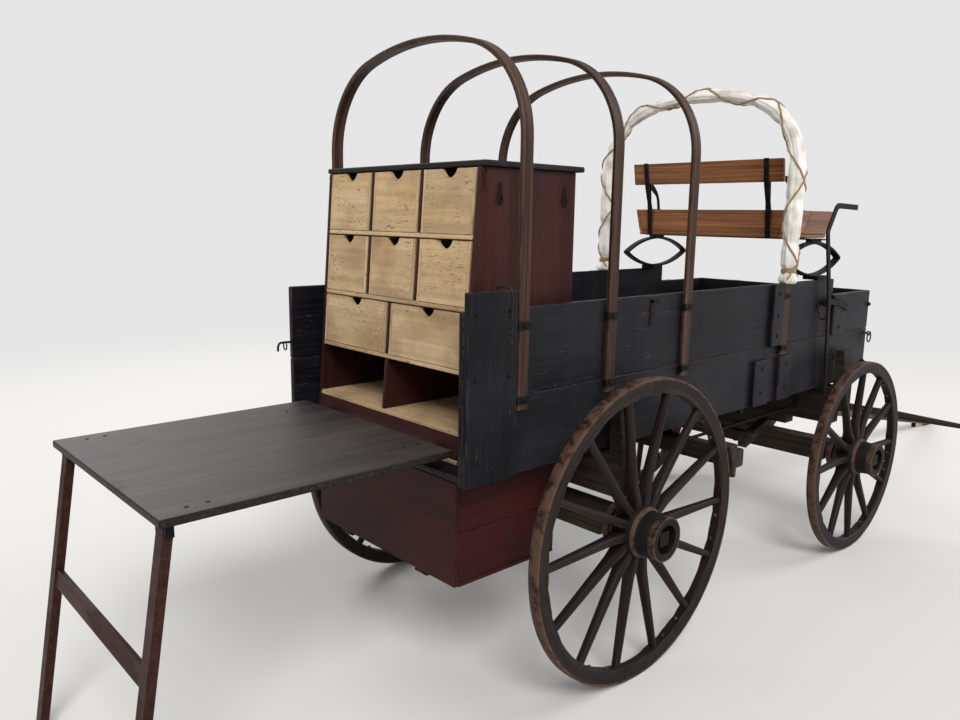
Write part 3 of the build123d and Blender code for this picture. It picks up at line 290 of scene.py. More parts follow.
# Hewn oak under the box, dull and brown with dust that has dried on it
gearWood = boardMaterial(
    "oak_gear_darkened_by_road_dirt",
    dark="#18120F", mid="#2A211B", light="#3C3028", worn="#574839", soil="#3E372F",
    pitch=5, dirt=0.3,
)
# Never painted: pale greyed ash with open grain
poleWood = boardMaterial(
    "ash_pole_grey_and_bare",
    dark="#382D24", mid="#5B4A3A", light="#7A6750", worn="#96836A", soil="#4E463D",
    pitch=5, dirt=0.25,
)
# Steamed and bent strips: long straight grain, warm brown oil, a low shine; light tan edges, partly worn and
# partly painted sunlit highlight
bowWood = boardMaterial(
    "bent_oak_oiled_brown",
    dark="#20140F", mid="#38261D", light="#523B2D", worn="#84674F", soil="#2C2320",
    pitch=4, fibre=260, rough=(0.38, 0.62), wear=0.8, dirt=0.15, edge=0.004,
)
# Varnish brings out an orange figure and gives the clearest highlights on the wagon
seatWood = boardMaterial(
    "pine_varnished_seat",
    dark="#5F381F", mid="#86532F", light="#9F693E", worn="#B08458", soil="#422C1B",
    pitch=8, fibre=340, rough=(0.26, 0.46), coat=0.35, crack=0.6, crackFrom=0.67, dirt=0.2, wear=0.6,
)
# Scrubbed smooth and stained by meals: a grey face with a soft sheen and dark crumbly edges
tableWood = boardMaterial(
    "pine_table_scrubbed_grey",
    dark="#2D2927", mid="#363231", light="#413C3A", worn="#14100E", soil="#463E38",
    pitch=10, fibre=320, rough=(0.40, 0.60), crackFrom=0.74, wear=1.6, bump=0.25,
    dirt=0.3, edge=0.008, sides="#191411",
)
# Sawn and oiled: a deep red brown with fine dark lines
legWood = boardMaterial(
    "red_oak_legs_oiled",
    dark="#200F0C", mid="#361B16", light="#482720", worn="#64463A", soil="#281814",
    pitch=4, rough=(0.42, 0.66), dirt=0.15, wear=0.6,
)
# Stain soaked into planed pine: black brown, with grain still to be seen
lidWood = boardMaterial(
    "pine_lid_black_stained",
    dark="#151210", mid="#221E1C", light="#322C29", worn="#5C5148", soil="#322D2A",
    pitch=6, rough=(0.45, 0.7), dirt=0.2, wear=0.9,
)
# Old thin paint, nearly black: chalky streaks, rain marks, and grey wood at nicks and edges
boxPaint = paintMaterial(
    "oak_boards_blue_black_paint_weathered",
    paint="#09090E", faded="#15141A", dust="#29282F", bare="#5E5148", bareDark="#2E2620", soil="#201E20",
    nicks=0.645, nickLong=80, nickWide=4, soiled=0.35, chalk=0.5, rough=(0.36, 0.66), rim=1.0,
    edge=0.007, streakWide=45, drips=0.24,
)
# Brushed on thick and rubbed by use: an even dark brown with a low sheen
chuckPaint = paintMaterial(
    "pine_boards_brown_paint_rubbed",
    paint="#2F1512", faded="#3A1B17", dust="#442A24", bare="#5A4034", bareDark="#2A1C18", soil="#241917",
    loss=0.73, nicks=0.67, nickLong=70, nickWide=5, soiled=0.45, chalk=0.3, rough=(0.34, 0.6), rim=0.9,
    bump=0.4,
)
# Cream gone yellow and grimy, with many short dark chips along the grain
drawerPaint = paintMaterial(
    "pine_drawers_cream_paint_worn",
    paint="#BA9D76", faded="#CBB08B", dust="#AC8E66", bare="#5A412B", bareDark="#2A1E14", soil="#8E7050",
    loss=0.735, nicks=0.605, nickLong=24, nickWide=5, rim=1.0, soiled=0.65, chalk=0.5,
    rough=(0.45, 0.72), bump=0.4, edge=0.004,
)
# Dark barn red, dulled by road dirt from below
redPaint = paintMaterial(
    "pine_boot_dark_red_paint",
    paint="#2C0B0D", faded="#3A1213", dust="#452A2A", bare="#4A352B", bareDark="#241813", soil="#221716",
    loss=0.73, nicks=0.67, nickLong=90, nickWide=5, soiled=0.4, chalk=0.3, bump=0.45,
)
# Forge black with small brown rust spots, a dull metal shine on flats, and light grey edges, partly rubbed
# and partly a painted sunlit highlight
blackIron = ironMaterial(
    "wrought_iron_blackened",
    dark="#100E0D", light="#211E1C", rust="#40281B", rubbed="#5C5148", rustFrom=0.58, rub=0.5,
)
# Brown with old rust almost all over, its edges ground lighter by the road
tyreIron = ironMaterial(
    "wrought_iron_tyre_rusted_and_road_rubbed",
    dark="#291F1A", light="#3C2B23", rust="#4E3427", rubbed="#75614F", rustFrom=0.42, rub=0.6,
)
# Off-white and quite matt, with grey stains in the folds
duck = clothMaterial(
    "cotton_duck_washed", cloth="#E6E3DD", clean="#F6F4F0", stain="#C2BAAE", threadMm=1.1
)
# Straw brown, matt and hairy
hemp = ropeMaterial("hemp_line_brown", dark="#5A4630", light="#B89A70")
print("materials made")


def evenShading(mesh):
    # Vertex normals weighted by face area, so that flat faces stay flat between their eased edges
    normals = np.zeros((len(mesh.vertices), 3))
    for polygon in mesh.polygons:
        for vertex in polygon.vertices:
            normals[vertex] += np.array(polygon.normal) * polygon.area
    lengths = np.linalg.norm(normals, axis=1, keepdims=True)
    mesh.normals_split_custom_set_from_vertices(normals / np.maximum(lengths, 1e-12))


def islands(bm):
    # Lists of vertices that hang together, in the mesh's own order
    seen = set()
    found = []
    for first in bm.verts:
        if first in seen:
            continue
        seen.add(first)
        group = [first]
        for vert in group:
            for edge in vert.link_edges:
                other = edge.other_vert(vert)
                if other not in seen:
                    seen.add(other)
                    group.append(other)
        found.append(group)
    return found


def markGrain(bm, seed, slanted=False):
    # Writes each board's own coordinates, its longest way first, and a tone of its own
    rng = random.Random(seed)
    grain = bm.verts.layers.float_vector.new("grain")
    tone = bm.verts.layers.float.new("tone")
    for group in islands(bm):
        co = np.array([v.co for v in group])
        if slanted:
            axes = np.linalg.eigh(np.cov((co - co.mean(0)).T) + np.eye(3) * 1e-12)[1].T[::-1]
        else:
            axes = np.eye(3)[np.argsort(co.min(0) - co.max(0), kind="stable")]
        shift = np.array([rng.uniform(-9, 9) for i in range(3)])
        local = (co - (co.min(0) + co.max(0)) / 2) @ axes.T + shift
        own = rng.random()
        for vert, place in zip(group, local):
            vert[grain] = place
            vert[tone] = own


def sawn(bm, cuts, joint=0.0003):
    # Saws a mesh along planes square to an axis, with a fine open joint at each
    pieces = [bm]
    for axis, value in cuts:
        after = []
        for piece in pieces:
            for way in (-1, 1):
                part = piece.copy()
                normal = Vector([way if i == axis else 0 for i in range(3)])
                plane = Vector([value + way * joint if i == axis else 0 for i in range(3)])
                geom = part.verts[:] + part.edges[:] + part.faces[:]
                cut = bmesh.ops.bisect_plane(
                    part, geom=geom, dist=1e-6, plane_co=plane, plane_no=normal, clear_inner=True
                )["geom_cut"]
                edges = [e for e in cut if isinstance(e, bmesh.types.BMEdge)]
                if edges:
                    bmesh.ops.triangle_fill(
                        part, edges=edges, use_beauty=True, use_dissolve=True, normal=-normal
                    )
                if part.verts:
                    after.append(part)
                else:
                    part.free()
            piece.free()
        pieces = after
    joined = bmesh.new()
    for piece in pieces:
        mesh = bpy.data.meshes.new("sawn")
        piece.to_mesh(mesh)
        piece.free()
        joined.from_mesh(mesh)
        bpy.data.meshes.remove(mesh)
    bmesh.ops.recalc_face_normals(joined, faces=joined.faces)
    return joined


def toObject(bm, name, material, body, nodes=(), smooth=40):
    mesh = bpy.data.meshes.new(name)
    bmesh.ops.recalc_face_normals(bm, faces=bm.faces)
    bm.normal_update()
    bm.to_mesh(mesh)
    bm.free()
    obj = bpy.data.objects.new(name, mesh)
    scene.collection.objects.link(obj)
    mesh.materials.append(material)
    for polygon in mesh.polygons:
        polygon.use_smooth = True
    mesh.set_sharp_from_angle(angle=math.radians(smooth))
    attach(obj, body)
    if nodes:
        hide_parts(*nodes)
    return obj


# Camera: behind the wagon's right rear corner, place in metres from the rear axle, angles in radians
camera = {"place": (-2.472, 2.457, 1.808), "yaw": 0.831, "pitch": 0.178, "roll": 0.015, "pixels": 796}
yaw, pitch, roll = camera["yaw"], camera["pitch"], camera["roll"]
forward = Vector((math.sin(yaw) * math.cos(pitch), -math.cos(yaw) * math.cos(pitch), -math.sin(pitch)))
level = Vector((-math.cos(yaw), -math.sin(yaw), 0))
upright = level.cross(forward)
rightward = math.cos(roll) * level + math.sin(roll) * upright
upward = -math.sin(roll) * level + math.cos(roll) * upright
eye = bpy.data.cameras.new("camera")
eye.sensor_width = 36
eye.lens = camera["pixels"] / 960 * eye.sensor_width  # focal length in pixels of a 960 wide image
eyeObject = bpy.data.objects.new("camera", eye)
scene.collection.objects.link(eyeObject)
turn = Matrix((rightward, upward, -forward)).transposed().to_4x4()
eyeObject.matrix_world = Matrix.Translation(Vector(camera["place"]) + Vector((0, rearY, 0))) @ turn
scene.camera = eyeObject
print("camera set")

# Three soft round lamps: place, where it points, both from the rear axle, its width and power
lamps = {
    "key": ((-13.0, 9.0, 14.5), (0, -1, 0.9), 9.0, 3150),
    "fill": ((14.0, -1.0, 11.0), (0, -1, 0.9), 10.0, 1150),
    "front": ((-9.0, -16.0, 11.0), (0, -2, 0.9), 10.0, 1250),
}
for name, (place, aim, size, power) in lamps.items():
    light = bpy.data.lights.new(name, "AREA")
    light.shape = "DISK"
    light.size = size
    light.energy = power
    lamp = bpy.data.objects.new(name, light)
    lamp.location = Vector(place) + Vector((0, rearY, 0))
    lamp.rotation_euler = (Vector(aim) - Vector(place)).to_track_quat("-Z", "Y").to_euler()
    scene.collection.objects.link(lamp)

studio = {"paper": "#DAD9D6", "behind": 0.79, "ambient": 0.50, "fadeFrom": 4.5, "fadeTo": 10.0}
scene.view_settings.view_transform = "Standard"
world = bpy.data.worlds.new("studio")
scene.world = world
world.use_nodes = True
tree = world.node_tree
tree.nodes.clear()
straight = addNode(tree, "LightPath", output="Is Camera Ray")
mirrored = addNode(tree, "LightPath", output="Is Glossy Ray")
seen = addNode(tree, "Math", (straight, mirrored), operation="MAXIMUM")
strength = addNode(tree, "MapRange", (seen, 0, 1, studio["ambient"], studio["behind"]))
backdrop = addNode(tree, "Background", {"Color": (1, 1, 1, 1), "Strength": strength})
addNode(tree, "OutputWorld", {"Surface": backdrop})

# Matt paper floor: keeps the shadow near the wagon and fades into the pale ground behind it
floorMaterial, tree = newMaterial("studio_paper_matt")
paper = addNode(tree, "BsdfPrincipled", {"Base Color": studio["paper"], "Roughness": 0.9})
place = addNode(tree, "TexCoord", output="Object")
away = addNode(tree, "VectorMath", [place], "Value", operation="LENGTH")
reach = (away, studio["fadeFrom"], studio["fadeTo"])
fade = addNode(tree, "MapRange", reach, interpolation_type="SMOOTHERSTEP")
straight = addNode(tree, "LightPath", output="Is Camera Ray")
fade = addNode(tree, "Math", (fade, straight), operation="MULTIPLY")
glow = addNode(tree, "Emission", {"Color": (1, 1, 1, 1), "Strength": studio["behind"]})
addNode(tree, "OutputMaterial", {"Surface": addNode(tree, "MixShader", (fade, paper, glow))})
bpy.ops.mesh.primitive_plane_add(size=160, location=(0, 0, 0))
floorObject = bpy.context.object
floorObject.name = "studio_floor"
floorObject.data.materials.append(floorMaterial)
print("studio set")


def newMesh():
    bm = bmesh.new()
    bm.verts.layers.float_vector.new("grain")
    bm.verts.layers.float.new("tone")
    return bm


def ring(bm, points, places=None, own=0.5):
    # Vertices at points; with places they also get their piece's own coordinates and tone
    verts = [bm.verts.new(p) for p in points]
    if places:
        grain, tone = bm.verts.layers.float_vector["grain"], bm.verts.layers.float["tone"]
        for vert, place in zip(verts, places):
            vert[grain] = place
            vert[tone] = own
    return verts


def skin(bm, rings, closed=False, caps=True):
    # Faces between rings of like count; caps close the two ends
    pairs = list(zip(rings[:-1], rings[1:]))
    if closed:
        pairs.append((rings[-1], rings[0]))
    for a, b in pairs:
        for i in range(len(a)):
            j = (i + 1) % len(a)
            bm.faces.new((a[i], a[j], b[j], b[i]))
    if caps and not closed:
        bm.faces.new(list(reversed(rings[0])))
        bm.faces.new(rings[-1])


def lathe(bm, profile, segments, own=0.5, closed=False):
    # Turns a profile of (along X, radius) about X
    rings = []
    for along, radius in profile:
        angles = [fullTurn * i / segments for i in range(segments)]
        points = [(along, radius * math.cos(t), radius * math.sin(t)) for t in angles]
        rings.append(ring(bm, points, [(along, radius * y, radius * z) for x, y, z in points], own))
    skin(bm, rings, closed, caps=False)


def superSection(width, depth, power, count):
    # Points round a section that goes from an oval, power 2, to a square with soft corners
    points = []
    for i in range(count):
        t = fullTurn * (i + 0.5) / count
        c, s = math.cos(t), math.sin(t)
        x = math.copysign(abs(c) ** (2 / power), c) * width / 2
        y = math.copysign(abs(s) ** (2 / power), s) * depth / 2
        points.append((x, y))
    return points


def barSection(wide, thick, ease):
    # Points round a flat bar with eased corners
    a, b = wide / 2, thick / 2
    return (
        (-a + ease, -b), (a - ease, -b), (a, -b + ease), (a, b - ease),
        (a - ease, b), (-a + ease, b), (-a, b - ease), (-a, -b + ease),
    )


def smoothStep(a, b, x):
    t = max(0.0, min(1.0, (x - a) / (b - a)))
    return t * t * (3 - 2 * t)


def addNut(bm, centre, out, around, size, high):
    # Square nut with a bolt end standing out of it
    across = out.cross(around)
    for width, low, top, count, power in ((size, 0, high, 8, 8), (size * 0.5, high, high * 1.5, 10, 2)):
        rings = []
        for level, grow in ((low, 1), (top * 0.85 + low * 0.15, 1), (top, 0.86)):
            section = superSection(width * grow, width * grow, power, count)
            rings.append(ring(bm, [centre + around * a + across * b + out * level for a, b in section]))
        skin(bm, rings)


# Wheels, in metres from the hub's middle, X outward
wheel = {
    "spokes": {"rear": 14, "front": 12},
    "spoke": (  # share of its length, width, depth, squareness
        (0.0, 0.034, 0.060, 9), (0.06, 0.034, 0.060, 8), (0.20, 0.036, 0.046, 3.2),
        (0.35, 0.037, 0.042, 2.6), (0.60, 0.034, 0.038, 2.4), (0.92, 0.030, 0.034, 2.2),
        (1.0, 0.030, 0.034, 2.2),
    ),
    "spokeFrom": 0.096,
    "tenon": 0.006,
    "dish": 0.024,
    "rimDepth": 0.052,
    "rimWidth": 0.042,
    "arris": 0.0015,
    "chamfer": 0.0065,
    "chamferRun": (0.026, 0.075),
    "felloeGap": 0.0009,
    "tyreThick": 0.010,
    "tyreWidth": 0.045,
    "nutPlace": 0.052,
    "nut": (0.013, 0.006),
    "hub": (  # along the axle, radius
        (-0.128, 0.041), (-0.128, 0.075), (-0.125, 0.0795), (-0.100, 0.0795), (-0.096, 0.083),
        (-0.084, 0.088), (-0.070, 0.095), (-0.056, 0.1035), (-0.050, 0.1042), (0.002, 0.1042),
        (0.008, 0.1035), (0.022, 0.096), (0.036, 0.0905), (0.060, 0.0865), (0.090, 0.084),
        (0.093, 0.0815), (0.118, 0.0815), (0.121, 0.079), (0.121, 0.060), (0.119, 0.058),
        (0.086, 0.058), (0.086, 0.029),
    ),
    "bands": (  # start, stop, radius at each, thickness
        (-0.128, -0.099, 0.0800, 0.0800, 0.0050), (0.092, 0.121, 0.0823, 0.0823, 0.0050),
        (-0.083, -0.068, 0.0885, 0.0960, 0.0035), (0.020, 0.035, 0.0970, 0.0910, 0.0035),
    ),
}


def addSpoke(bm, angle, start, end, rng):
    out = Vector((0, math.cos(angle), math.sin(angle)))
    around = Vector((0, -math.sin(angle), math.cos(angle)))
    axle = Vector((1, 0, 0))
    shift = [rng.uniform(-9, 9) for i in range(3)]
    own = rng.random()
    rings = []
    for share, width, depth, power in wheel["spoke"]:
        r = start + share * (end - start)
        lean = -wheel["dish"] * (1 - share)
        section = superSection(width, depth, power, 16)
        points = [out * r + around * a + axle * (lean + b) for a, b in section]
        rings.append(ring(bm, points, [(r + shift[0], a + shift[1], b + shift[2]) for a, b in section], own))
    skin(bm, rings)


def addFelloe(bm, first, last, inner, outer, spokeAngles, rng):
    # One rim piece between two joints, its inner edges chamfered away from spokes and ends
    half = wheel["rimWidth"] / 2
    small = wheel["arris"]
    shift = [rng.uniform(-9, 9) for i in range(3)]
    own = rng.random()
    steps = 54
    rings = []
    for i in range(steps + 1):
        t = first + (last - first) * i / steps
        near = min([abs(t - a) for a in spokeAngles] + [abs(t - first), abs(t - last)]) * inner
        ease = small + wheel["chamfer"] * smoothStep(*wheel["chamferRun"], near)
        section = [
            (-half + ease, inner), (half - ease, inner), (half, inner + ease), (half, outer - small),
            (half - small, outer), (-half + small, outer), (-half, outer - small), (-half, inner + ease),
        ]
        points = [(a, r * math.cos(t), r * math.sin(t)) for a, r in section]
        places = [(t * outer + shift[0], a + shift[1], r + shift[2]) for a, r in section]
        rings.append(ring(bm, points, places, own))
    skin(bm, rings)


def buildWheel(name, spokes):
    node, iron = f"wheel_{name}", f"tyre_{name}"
    low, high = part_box(iron)
    hub = (low + high) / 2
    side = 1 if hub.x > 0 else -1
    radius = (high.z - low.z) / 2
    place = Matrix.Translation(hub) @ (Matrix.Rotation(math.pi, 4, "Z") if side < 0 else Matrix())
    rng = random.Random(name)
    outer = radius - wheel["tyreThick"] - 0.0003
    inner = outer - wheel["rimDepth"]
    step = fullTurn / spokes
    gap = wheel["felloeGap"] / outer

    bm = newMesh()
    for i in range(spokes):
        addSpoke(bm, i * step, wheel["spokeFrom"], inner + wheel["tenon"], rng)
    for i in range(spokes // 2):
        first = (2 * i - 0.5) * step + gap
        angles = [2 * i * step, (2 * i + 1) * step]
        addFelloe(bm, first, first + 2 * step - 2 * gap, inner, outer, angles, rng)
    bm.transform(place)
    toObject(bm, f"{node}_spokes_and_rim", oiledSpoke, bodyOf[node], [node])

    bm = newMesh()
    lathe(bm, wheel["hub"], 64, 0.35)
    bm.transform(place)
    toObject(bm, f"{node}_hub", hubWood, bodyOf[node], [node])

    bm = newMesh()
    for start, stop, near, far, thick in wheel["bands"]:
        band = (
            (start, near), (start, near + thick - 0.001), (start + 0.001, near + thick),
            (stop - 0.001, far + thick), (stop, far + thick - 0.001), (stop, far),
        )
        lathe(bm, band, 64, closed=True)
    half = wheel["tyreWidth"] / 2
    tyre = (
        (-half, radius - wheel["tyreThick"]), (-half, radius - 0.003), (-half + 0.0025, radius - 0.0008),
        (0, radius),
        (half - 0.0025, radius - 0.0008), (half, radius - 0.003), (half, radius - wheel["tyreThick"]),
    )
    lathe(bm, tyre, 112, closed=True)
    # Two nuts beside each joint of the rim, on its inner side
    for i in range(spokes // 2):
        for shift in (-wheel["nutPlace"], wheel["nutPlace"]):
            t = (2 * i - 0.5) * step + shift / inner
            out = Vector((0, -math.cos(t), -math.sin(t)))
            around = Vector((0, -math.sin(t), math.cos(t)))
            addNut(bm, -out * (inner + 0.0005), out, around, *wheel["nut"])
    bm.transform(place)
    toObject(bm, f"{iron}_and_bands", tyreIron, bodyOf[node], [iron])


for end, side in (("rear", "right"), ("rear", "left"), ("front", "right"), ("front", "left")):
    buildWheel(f"{end}_{side}", wheel["spokes"][end])
print("wheels built")

# Bows: bent strips outside the sides, the front one inside the gathered cover
bows = {
    "width": 0.050,
    "thick": 0.018,
    "ease": 0.003,
    "sway": 0.004,
    "places": (0.53, 0.05, -0.46, -1.33),
    "cornerRadius": 0.35,
    "crownRadius": 1.2,
}
bowLow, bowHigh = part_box("bows")
bowHalf = bowHigh.x - bows["thick"] / 2
bowTop = bowHigh.z - bows["thick"] / 2


def archPath(foot, spacing):
    # Points, outward normals and lengths along a three-centred arch, from the right foot to the left
    corner, crown = bows["cornerRadius"], bows["crownRadius"]
    drop = math.sqrt((crown - corner) ** 2 - (bowHalf - corner) ** 2)
    spring = bowTop - crown + drop
    tilt = math.atan2(bowHalf - corner, drop)
    found = []

    def stretch(length, at):
        count = max(2, round(length / spacing))
        start = found[-1][2] if found else 0.0
        for i in range(1 if found else 0, count + 1):
            place, normal = at(i / count)
            found.append((Vector(place), Vector(normal), start + length * i / count))

    def arc(cx, cz, radius, first, last):
        def at(s):
            a = first + (last - first) * s
            out = (math.cos(a), 0, math.sin(a))
            return (cx + radius * out[0], 0, cz + radius * out[2]), out

        stretch(radius * abs(last - first), at)

    stretch(spring - foot, lambda s: ((-bowHalf, 0, foot + (spring - foot) * s), (-1, 0, 0)))
    arc(-bowHalf + corner, spring, corner, math.pi, math.pi / 2 + tilt)
    arc(0, bowTop - crown, crown, math.pi / 2 + tilt, math.pi / 2 - tilt)
    arc(bowHalf - corner, spring, corner, math.pi / 2 - tilt, 0)
    stretch(spring - foot, lambda s: ((bowHalf, 0, spring - (spring - foot) * s), (1, 0, 0)))
    return found


def addBow(bm, y, rng):
    # Each bow sways a little forward or back at its crown
    section = barSection(bows["width"], bows["thick"], bows["ease"])
    shift = [rng.uniform(-9, 9) for i in range(3)]
    own = rng.random()
    sway = rng.uniform(-bows["sway"], bows["sway"])
    rings = []
    path = archPath(bowLow.z, 0.03)
    for place, normal, length in path:
        lean = sway * math.sin(math.pi * length / path[-1][2])
        points = [place + Vector((0, y + lean + along, 0)) + normal * up for along, up in section]
        places = [(length + shift[0], p + shift[1], q + shift[2]) for p, q in section]
        rings.append(ring(bm, points, places, own))
    skin(bm, rings)


rng = random.Random("bows")
for node, places in (("bows", bows["places"][:-1]), ("front_bow", bows["places"][-1:])):
    bm = newMesh()
    for place in places:
        addBow(bm, rearY + place, rng)
    toObject(bm, f"{node}_bent", bowWood, "wagon", [node])
print("bows built")

cover = {
    "radius": 0.041,
    "least": 0.0275,
    "crown": 0.80,  # radius over the crown, as a share of the radius at the sides
    "slimRun": (0.15, 0.36),  # where it grows slimmer, as shares of the bow
    "folds": ((2, 0.05), (3, 0.05), (5, 0.05), (8, 0.04), (13, 0.026)),  # count and depth
    "drift": 14,
    "lashPitch": 0.20,
    "pinch": (0.17, 0.022),  # depth and half width
    "ropeRadius": 0.0045,
    "tie": 0.064,
    "tiePinch": (0.36, 0.018),  # depth and half width
    "tieTurns": 3,
    "tail": 0.015,
}


def coverRadius(whole, turn, length, waves):
    # Radius of the gathered cloth: long soft folds, pinched where the lines cross, slimmer over the crown
    phase = (length / cover["lashPitch"]) % 1.0
    deep, wide = cover["pinch"]
    pinch = 1 - deep * math.exp(-((min(phase, 1 - phase) * cover["lashPitch"] / wide) ** 2))
    folds = 0.0
    for count, drift, depth, start in waves:
        swell = 0.65 + 0.35 * math.sin(3.1 * drift * length + 2 * start)
        folds += depth * swell * math.sin(count * turn + drift * length + start)
    ends = min(length, whole - length)
    deep, wide = cover["tiePinch"]
    tie = 1 - deep * math.exp(-((ends - cover["tie"]) / wide) ** 2)
    tail = 1 + 0.22 * smoothStep(0.045, 0.012, ends) - 0.20 * smoothStep(0.010, 0.0, ends)
    slim = 1 - (1 - cover["crown"]) * smoothStep(*cover["slimRun"], ends / whole)
    return max(cover["radius"] * (pinch * tie * tail * slim + folds), cover["least"])


def tube(bm, points, radius, sides=8):
    # A round line along points, its strands' coordinates in grain
    rings = []
    travelled = 0.0
    normal = None
    angles = [fullTurn * k / sides for k in range(sides)]
    for i, point in enumerate(points):
        ahead = (points[min(i + 1, len(points) - 1)] - points[max(i - 1, 0)]).normalized()
        if normal is None:
            normal = ahead.orthogonal().normalized()
        normal = (normal - ahead * normal.dot(ahead)).normalized()
        other = ahead.cross(normal)
        if i:
            travelled += (point - points[i - 1]).length
        around = [point + (normal * math.cos(t) + other * math.sin(t)) * radius for t in angles]
        places = [(travelled, math.cos(t) * radius, math.sin(t) * radius) for t in angles]
        rings.append(ring(bm, around, places))
    skin(bm, rings)


def buildCover():
    rng = random.Random("cover")
    drift = cover["drift"]
    waves = [
        (count, rng.uniform(-drift, drift), deep, rng.uniform(0, 6.28)) for count, deep in cover["folds"]
    ]
    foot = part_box("canvas")[0].z - cover["tail"]
    path = archPath(foot, 0.008)
    whole = path[-1][2]
    y = rearY + bows["places"][-1]
    rope = cover["ropeRadius"]

    def around(place, normal, turn, r):
        return place + Vector((0, y + r * math.cos(turn), 0)) + normal * r * math.sin(turn)

    bm = newMesh()
    rings = []
    turns = [fullTurn * k / 72 for k in range(72)]
    for place, normal, length in path:
        points = [around(place, normal, t, coverRadius(whole, t, length, waves)) for t in turns]
        rings.append(ring(bm, points, [(length, t * cover["radius"], 0) for t in turns]))
    skin(bm, rings)
    toObject(bm, "cover_gathered", duck, "wagon", ["canvas"], 60)

    bm = newMesh()
    for way, start in ((1, 0.0), (-1, math.pi)):
        points = []
        for place, normal, length in path:
            t = start + way * fullTurn * length / (2 * cover["lashPitch"])
            r = coverRadius(whole, t % fullTurn, length, waves) + rope * 0.6
            points.append(around(place, normal, t, r))
        tube(bm, points[3:-3], rope)
    # A tie of a few turns near each end
    r = cover["radius"] * 0.70 + rope * 0.8
    steps = cover["tieTurns"] * 24
    for end in (-1, 1):
        points = []
        for i in range(steps + 1):
            t = fullTurn * i / 24
            up = cover["tie"] - 0.010 + 0.020 * i / steps
            points.append(Vector((end * bowHalf + r * math.sin(t), y + r * math.cos(t), foot + up)))
        tube(bm, points, rope)
    toObject(bm, "cover_lashing", hemp, "wagon", [], 60)


buildCover()
print("cover gathered")

# The rest keeps its built shape, sawn into boards, with eased edges and its own finish
plank = {
    "side": 0.025,
    "cleat": 0.020,
    "floorBoards": 8,
    "endBoard": 0.28,
    "chestWall": 0.020,
    "chestBoard": 0.27,
    "lidBoard": 0.25,
    "chestSlope": 0.0792,
    "drawer": 0.012,
    "drawerFront": 0.018,
    "bootWall": 0.018,
    "table": 0.025,
    "seat": 0.022,
}
seat = {
    "leanFrom": 1.865,
    "lean": 0.17,
    "railFrom": 2.0,
    "railEnds": 0.42,
    "railLonger": 1.07,
    "ends": 0.40,
    "flare": 0.25,
    "bar": (0.060, 0.007),
    "barBehind": 0.277,
}
easing = {"iron": 0.0015, "drawer_paint": 0.0022, "gear_wood": 0.004, "table_wood": 0.0025}
easyFit = {"singletree_left_iron": 0.0004, "singletree_right_iron": 0.0004}  # worn that much all round


def shapeSeat(bm, flare):
    # The seat's back leans a little, its rail is as long as the box below, and its ends flare
    for vert in bm.verts:
        vert.co.y += max(vert.co.z - seat["leanFrom"], 0) * seat["lean"]
        if vert.co.z > seat["railFrom"] and abs(vert.co.x) > seat["railEnds"]:
            vert.co.x *= seat["railLonger"]
        if vert.co.z < seat["leanFrom"] and abs(vert.co.x) > seat["ends"]:
            vert.co.x -= math.copysign((seat["leanFrom"] - vert.co.z) * flare, vert.co.x)


def dress(node, material, bevel, cuts, slanted):
    # The CAD piece sawn into its boards, with eased edges and each board's own grain
    bm = bmesh.new()
    bm.from_mesh(frame["nodes"][node].data)
    bmesh.ops.remove_doubles(bm, verts=bm.verts, dist=1e-5)
    bmesh.ops.dissolve_limit(bm, angle_limit=math.radians(1), verts=bm.verts, edges=bm.edges)
    if cuts:
        bm = sawn(bm, cuts)
        bmesh.ops.dissolve_limit(bm, angle_limit=math.radians(0.5), verts=bm.verts, edges=bm.edges)
    if node in ("seat_boards", "seat_irons"):
        shapeSeat(bm, seat["flare"] if node == "seat_boards" else 0)
    sharp = [e for e in bm.edges if e.is_manifold and e.calc_face_angle(0) > math.radians(32)]
    bmesh.ops.bevel(bm, geom=sharp, offset=bevel, segments=2, affect="EDGES", clamp_overlap=True)
    if node in easyFit:
        for vert in bm.verts:
            vert.co -= vert.normal * easyFit[node]
    markGrain(bm, node, slanted)
    obj = toObject(bm, f"{node}_shown", material, bodyOf[node], [node], 50)
    evenShading(obj.data)


def between(low, high, count):
    # Places of the joints of so many equal boards
    return [low + (high - low) * i / count for i in range(1, count)]


sideLow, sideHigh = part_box("side_boards_right")
sideFace = abs(sideLow.x) - plank["cleat"]
floorLow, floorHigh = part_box("floor")
chestLow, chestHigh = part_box("chuck_box")
chestIn = chestHigh.x - plank["chestWall"]
bootLow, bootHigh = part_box("boot")
bootIn = bootHigh.x - plank["bootWall"]
doorLow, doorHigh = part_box("boot_door")
tableLow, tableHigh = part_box("drop_table")
endLow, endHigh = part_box("front_end_board")
seatLow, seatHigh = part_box("seat_boards")
boards = {  # node: (axis, place) of each saw cut
    "floor": [(2, floorHigh.z - plank["side"])]
    + [(0, x) for x in between(floorLow.x, floorHigh.x, plank["floorBoards"])],
    "side_boards_right": [(0, -sideFace)],
    "side_boards_left": [(0, sideFace)],
    "front_end_board": [(1, endHigh.y - plank["side"]), (2, endLow.z + plank["endBoard"])],
    "chuck_box": [(0, -chestIn), (0, chestIn), (1, chestLow.y + plank["chestBoard"])],
    "boot": [
        (0, -bootIn), (0, bootIn), (2, bootLow.z + plank["bootWall"]), (2, bootHigh.z - plank["bootWall"]),
        (2, (bootLow.z + bootHigh.z) / 2), (1, bootLow.y + plank["bootWall"]),
    ],
    "boot_door": [(2, (doorLow.z + doorHigh.z) / 2)],
    "drop_table": [(2, tableHigh.z - plank["table"])],
    "chuck_box_top": [(1, chestLow.y + plank["lidBoard"])],
    "seat_boards": [
        (0, seatLow.x + plank["seat"]), (0, seatHigh.x - plank["seat"]), (2, seatLow.z + plank["seat"]),
        (1, (seatLow.y + seatHigh.y) / 2),
    ],
}
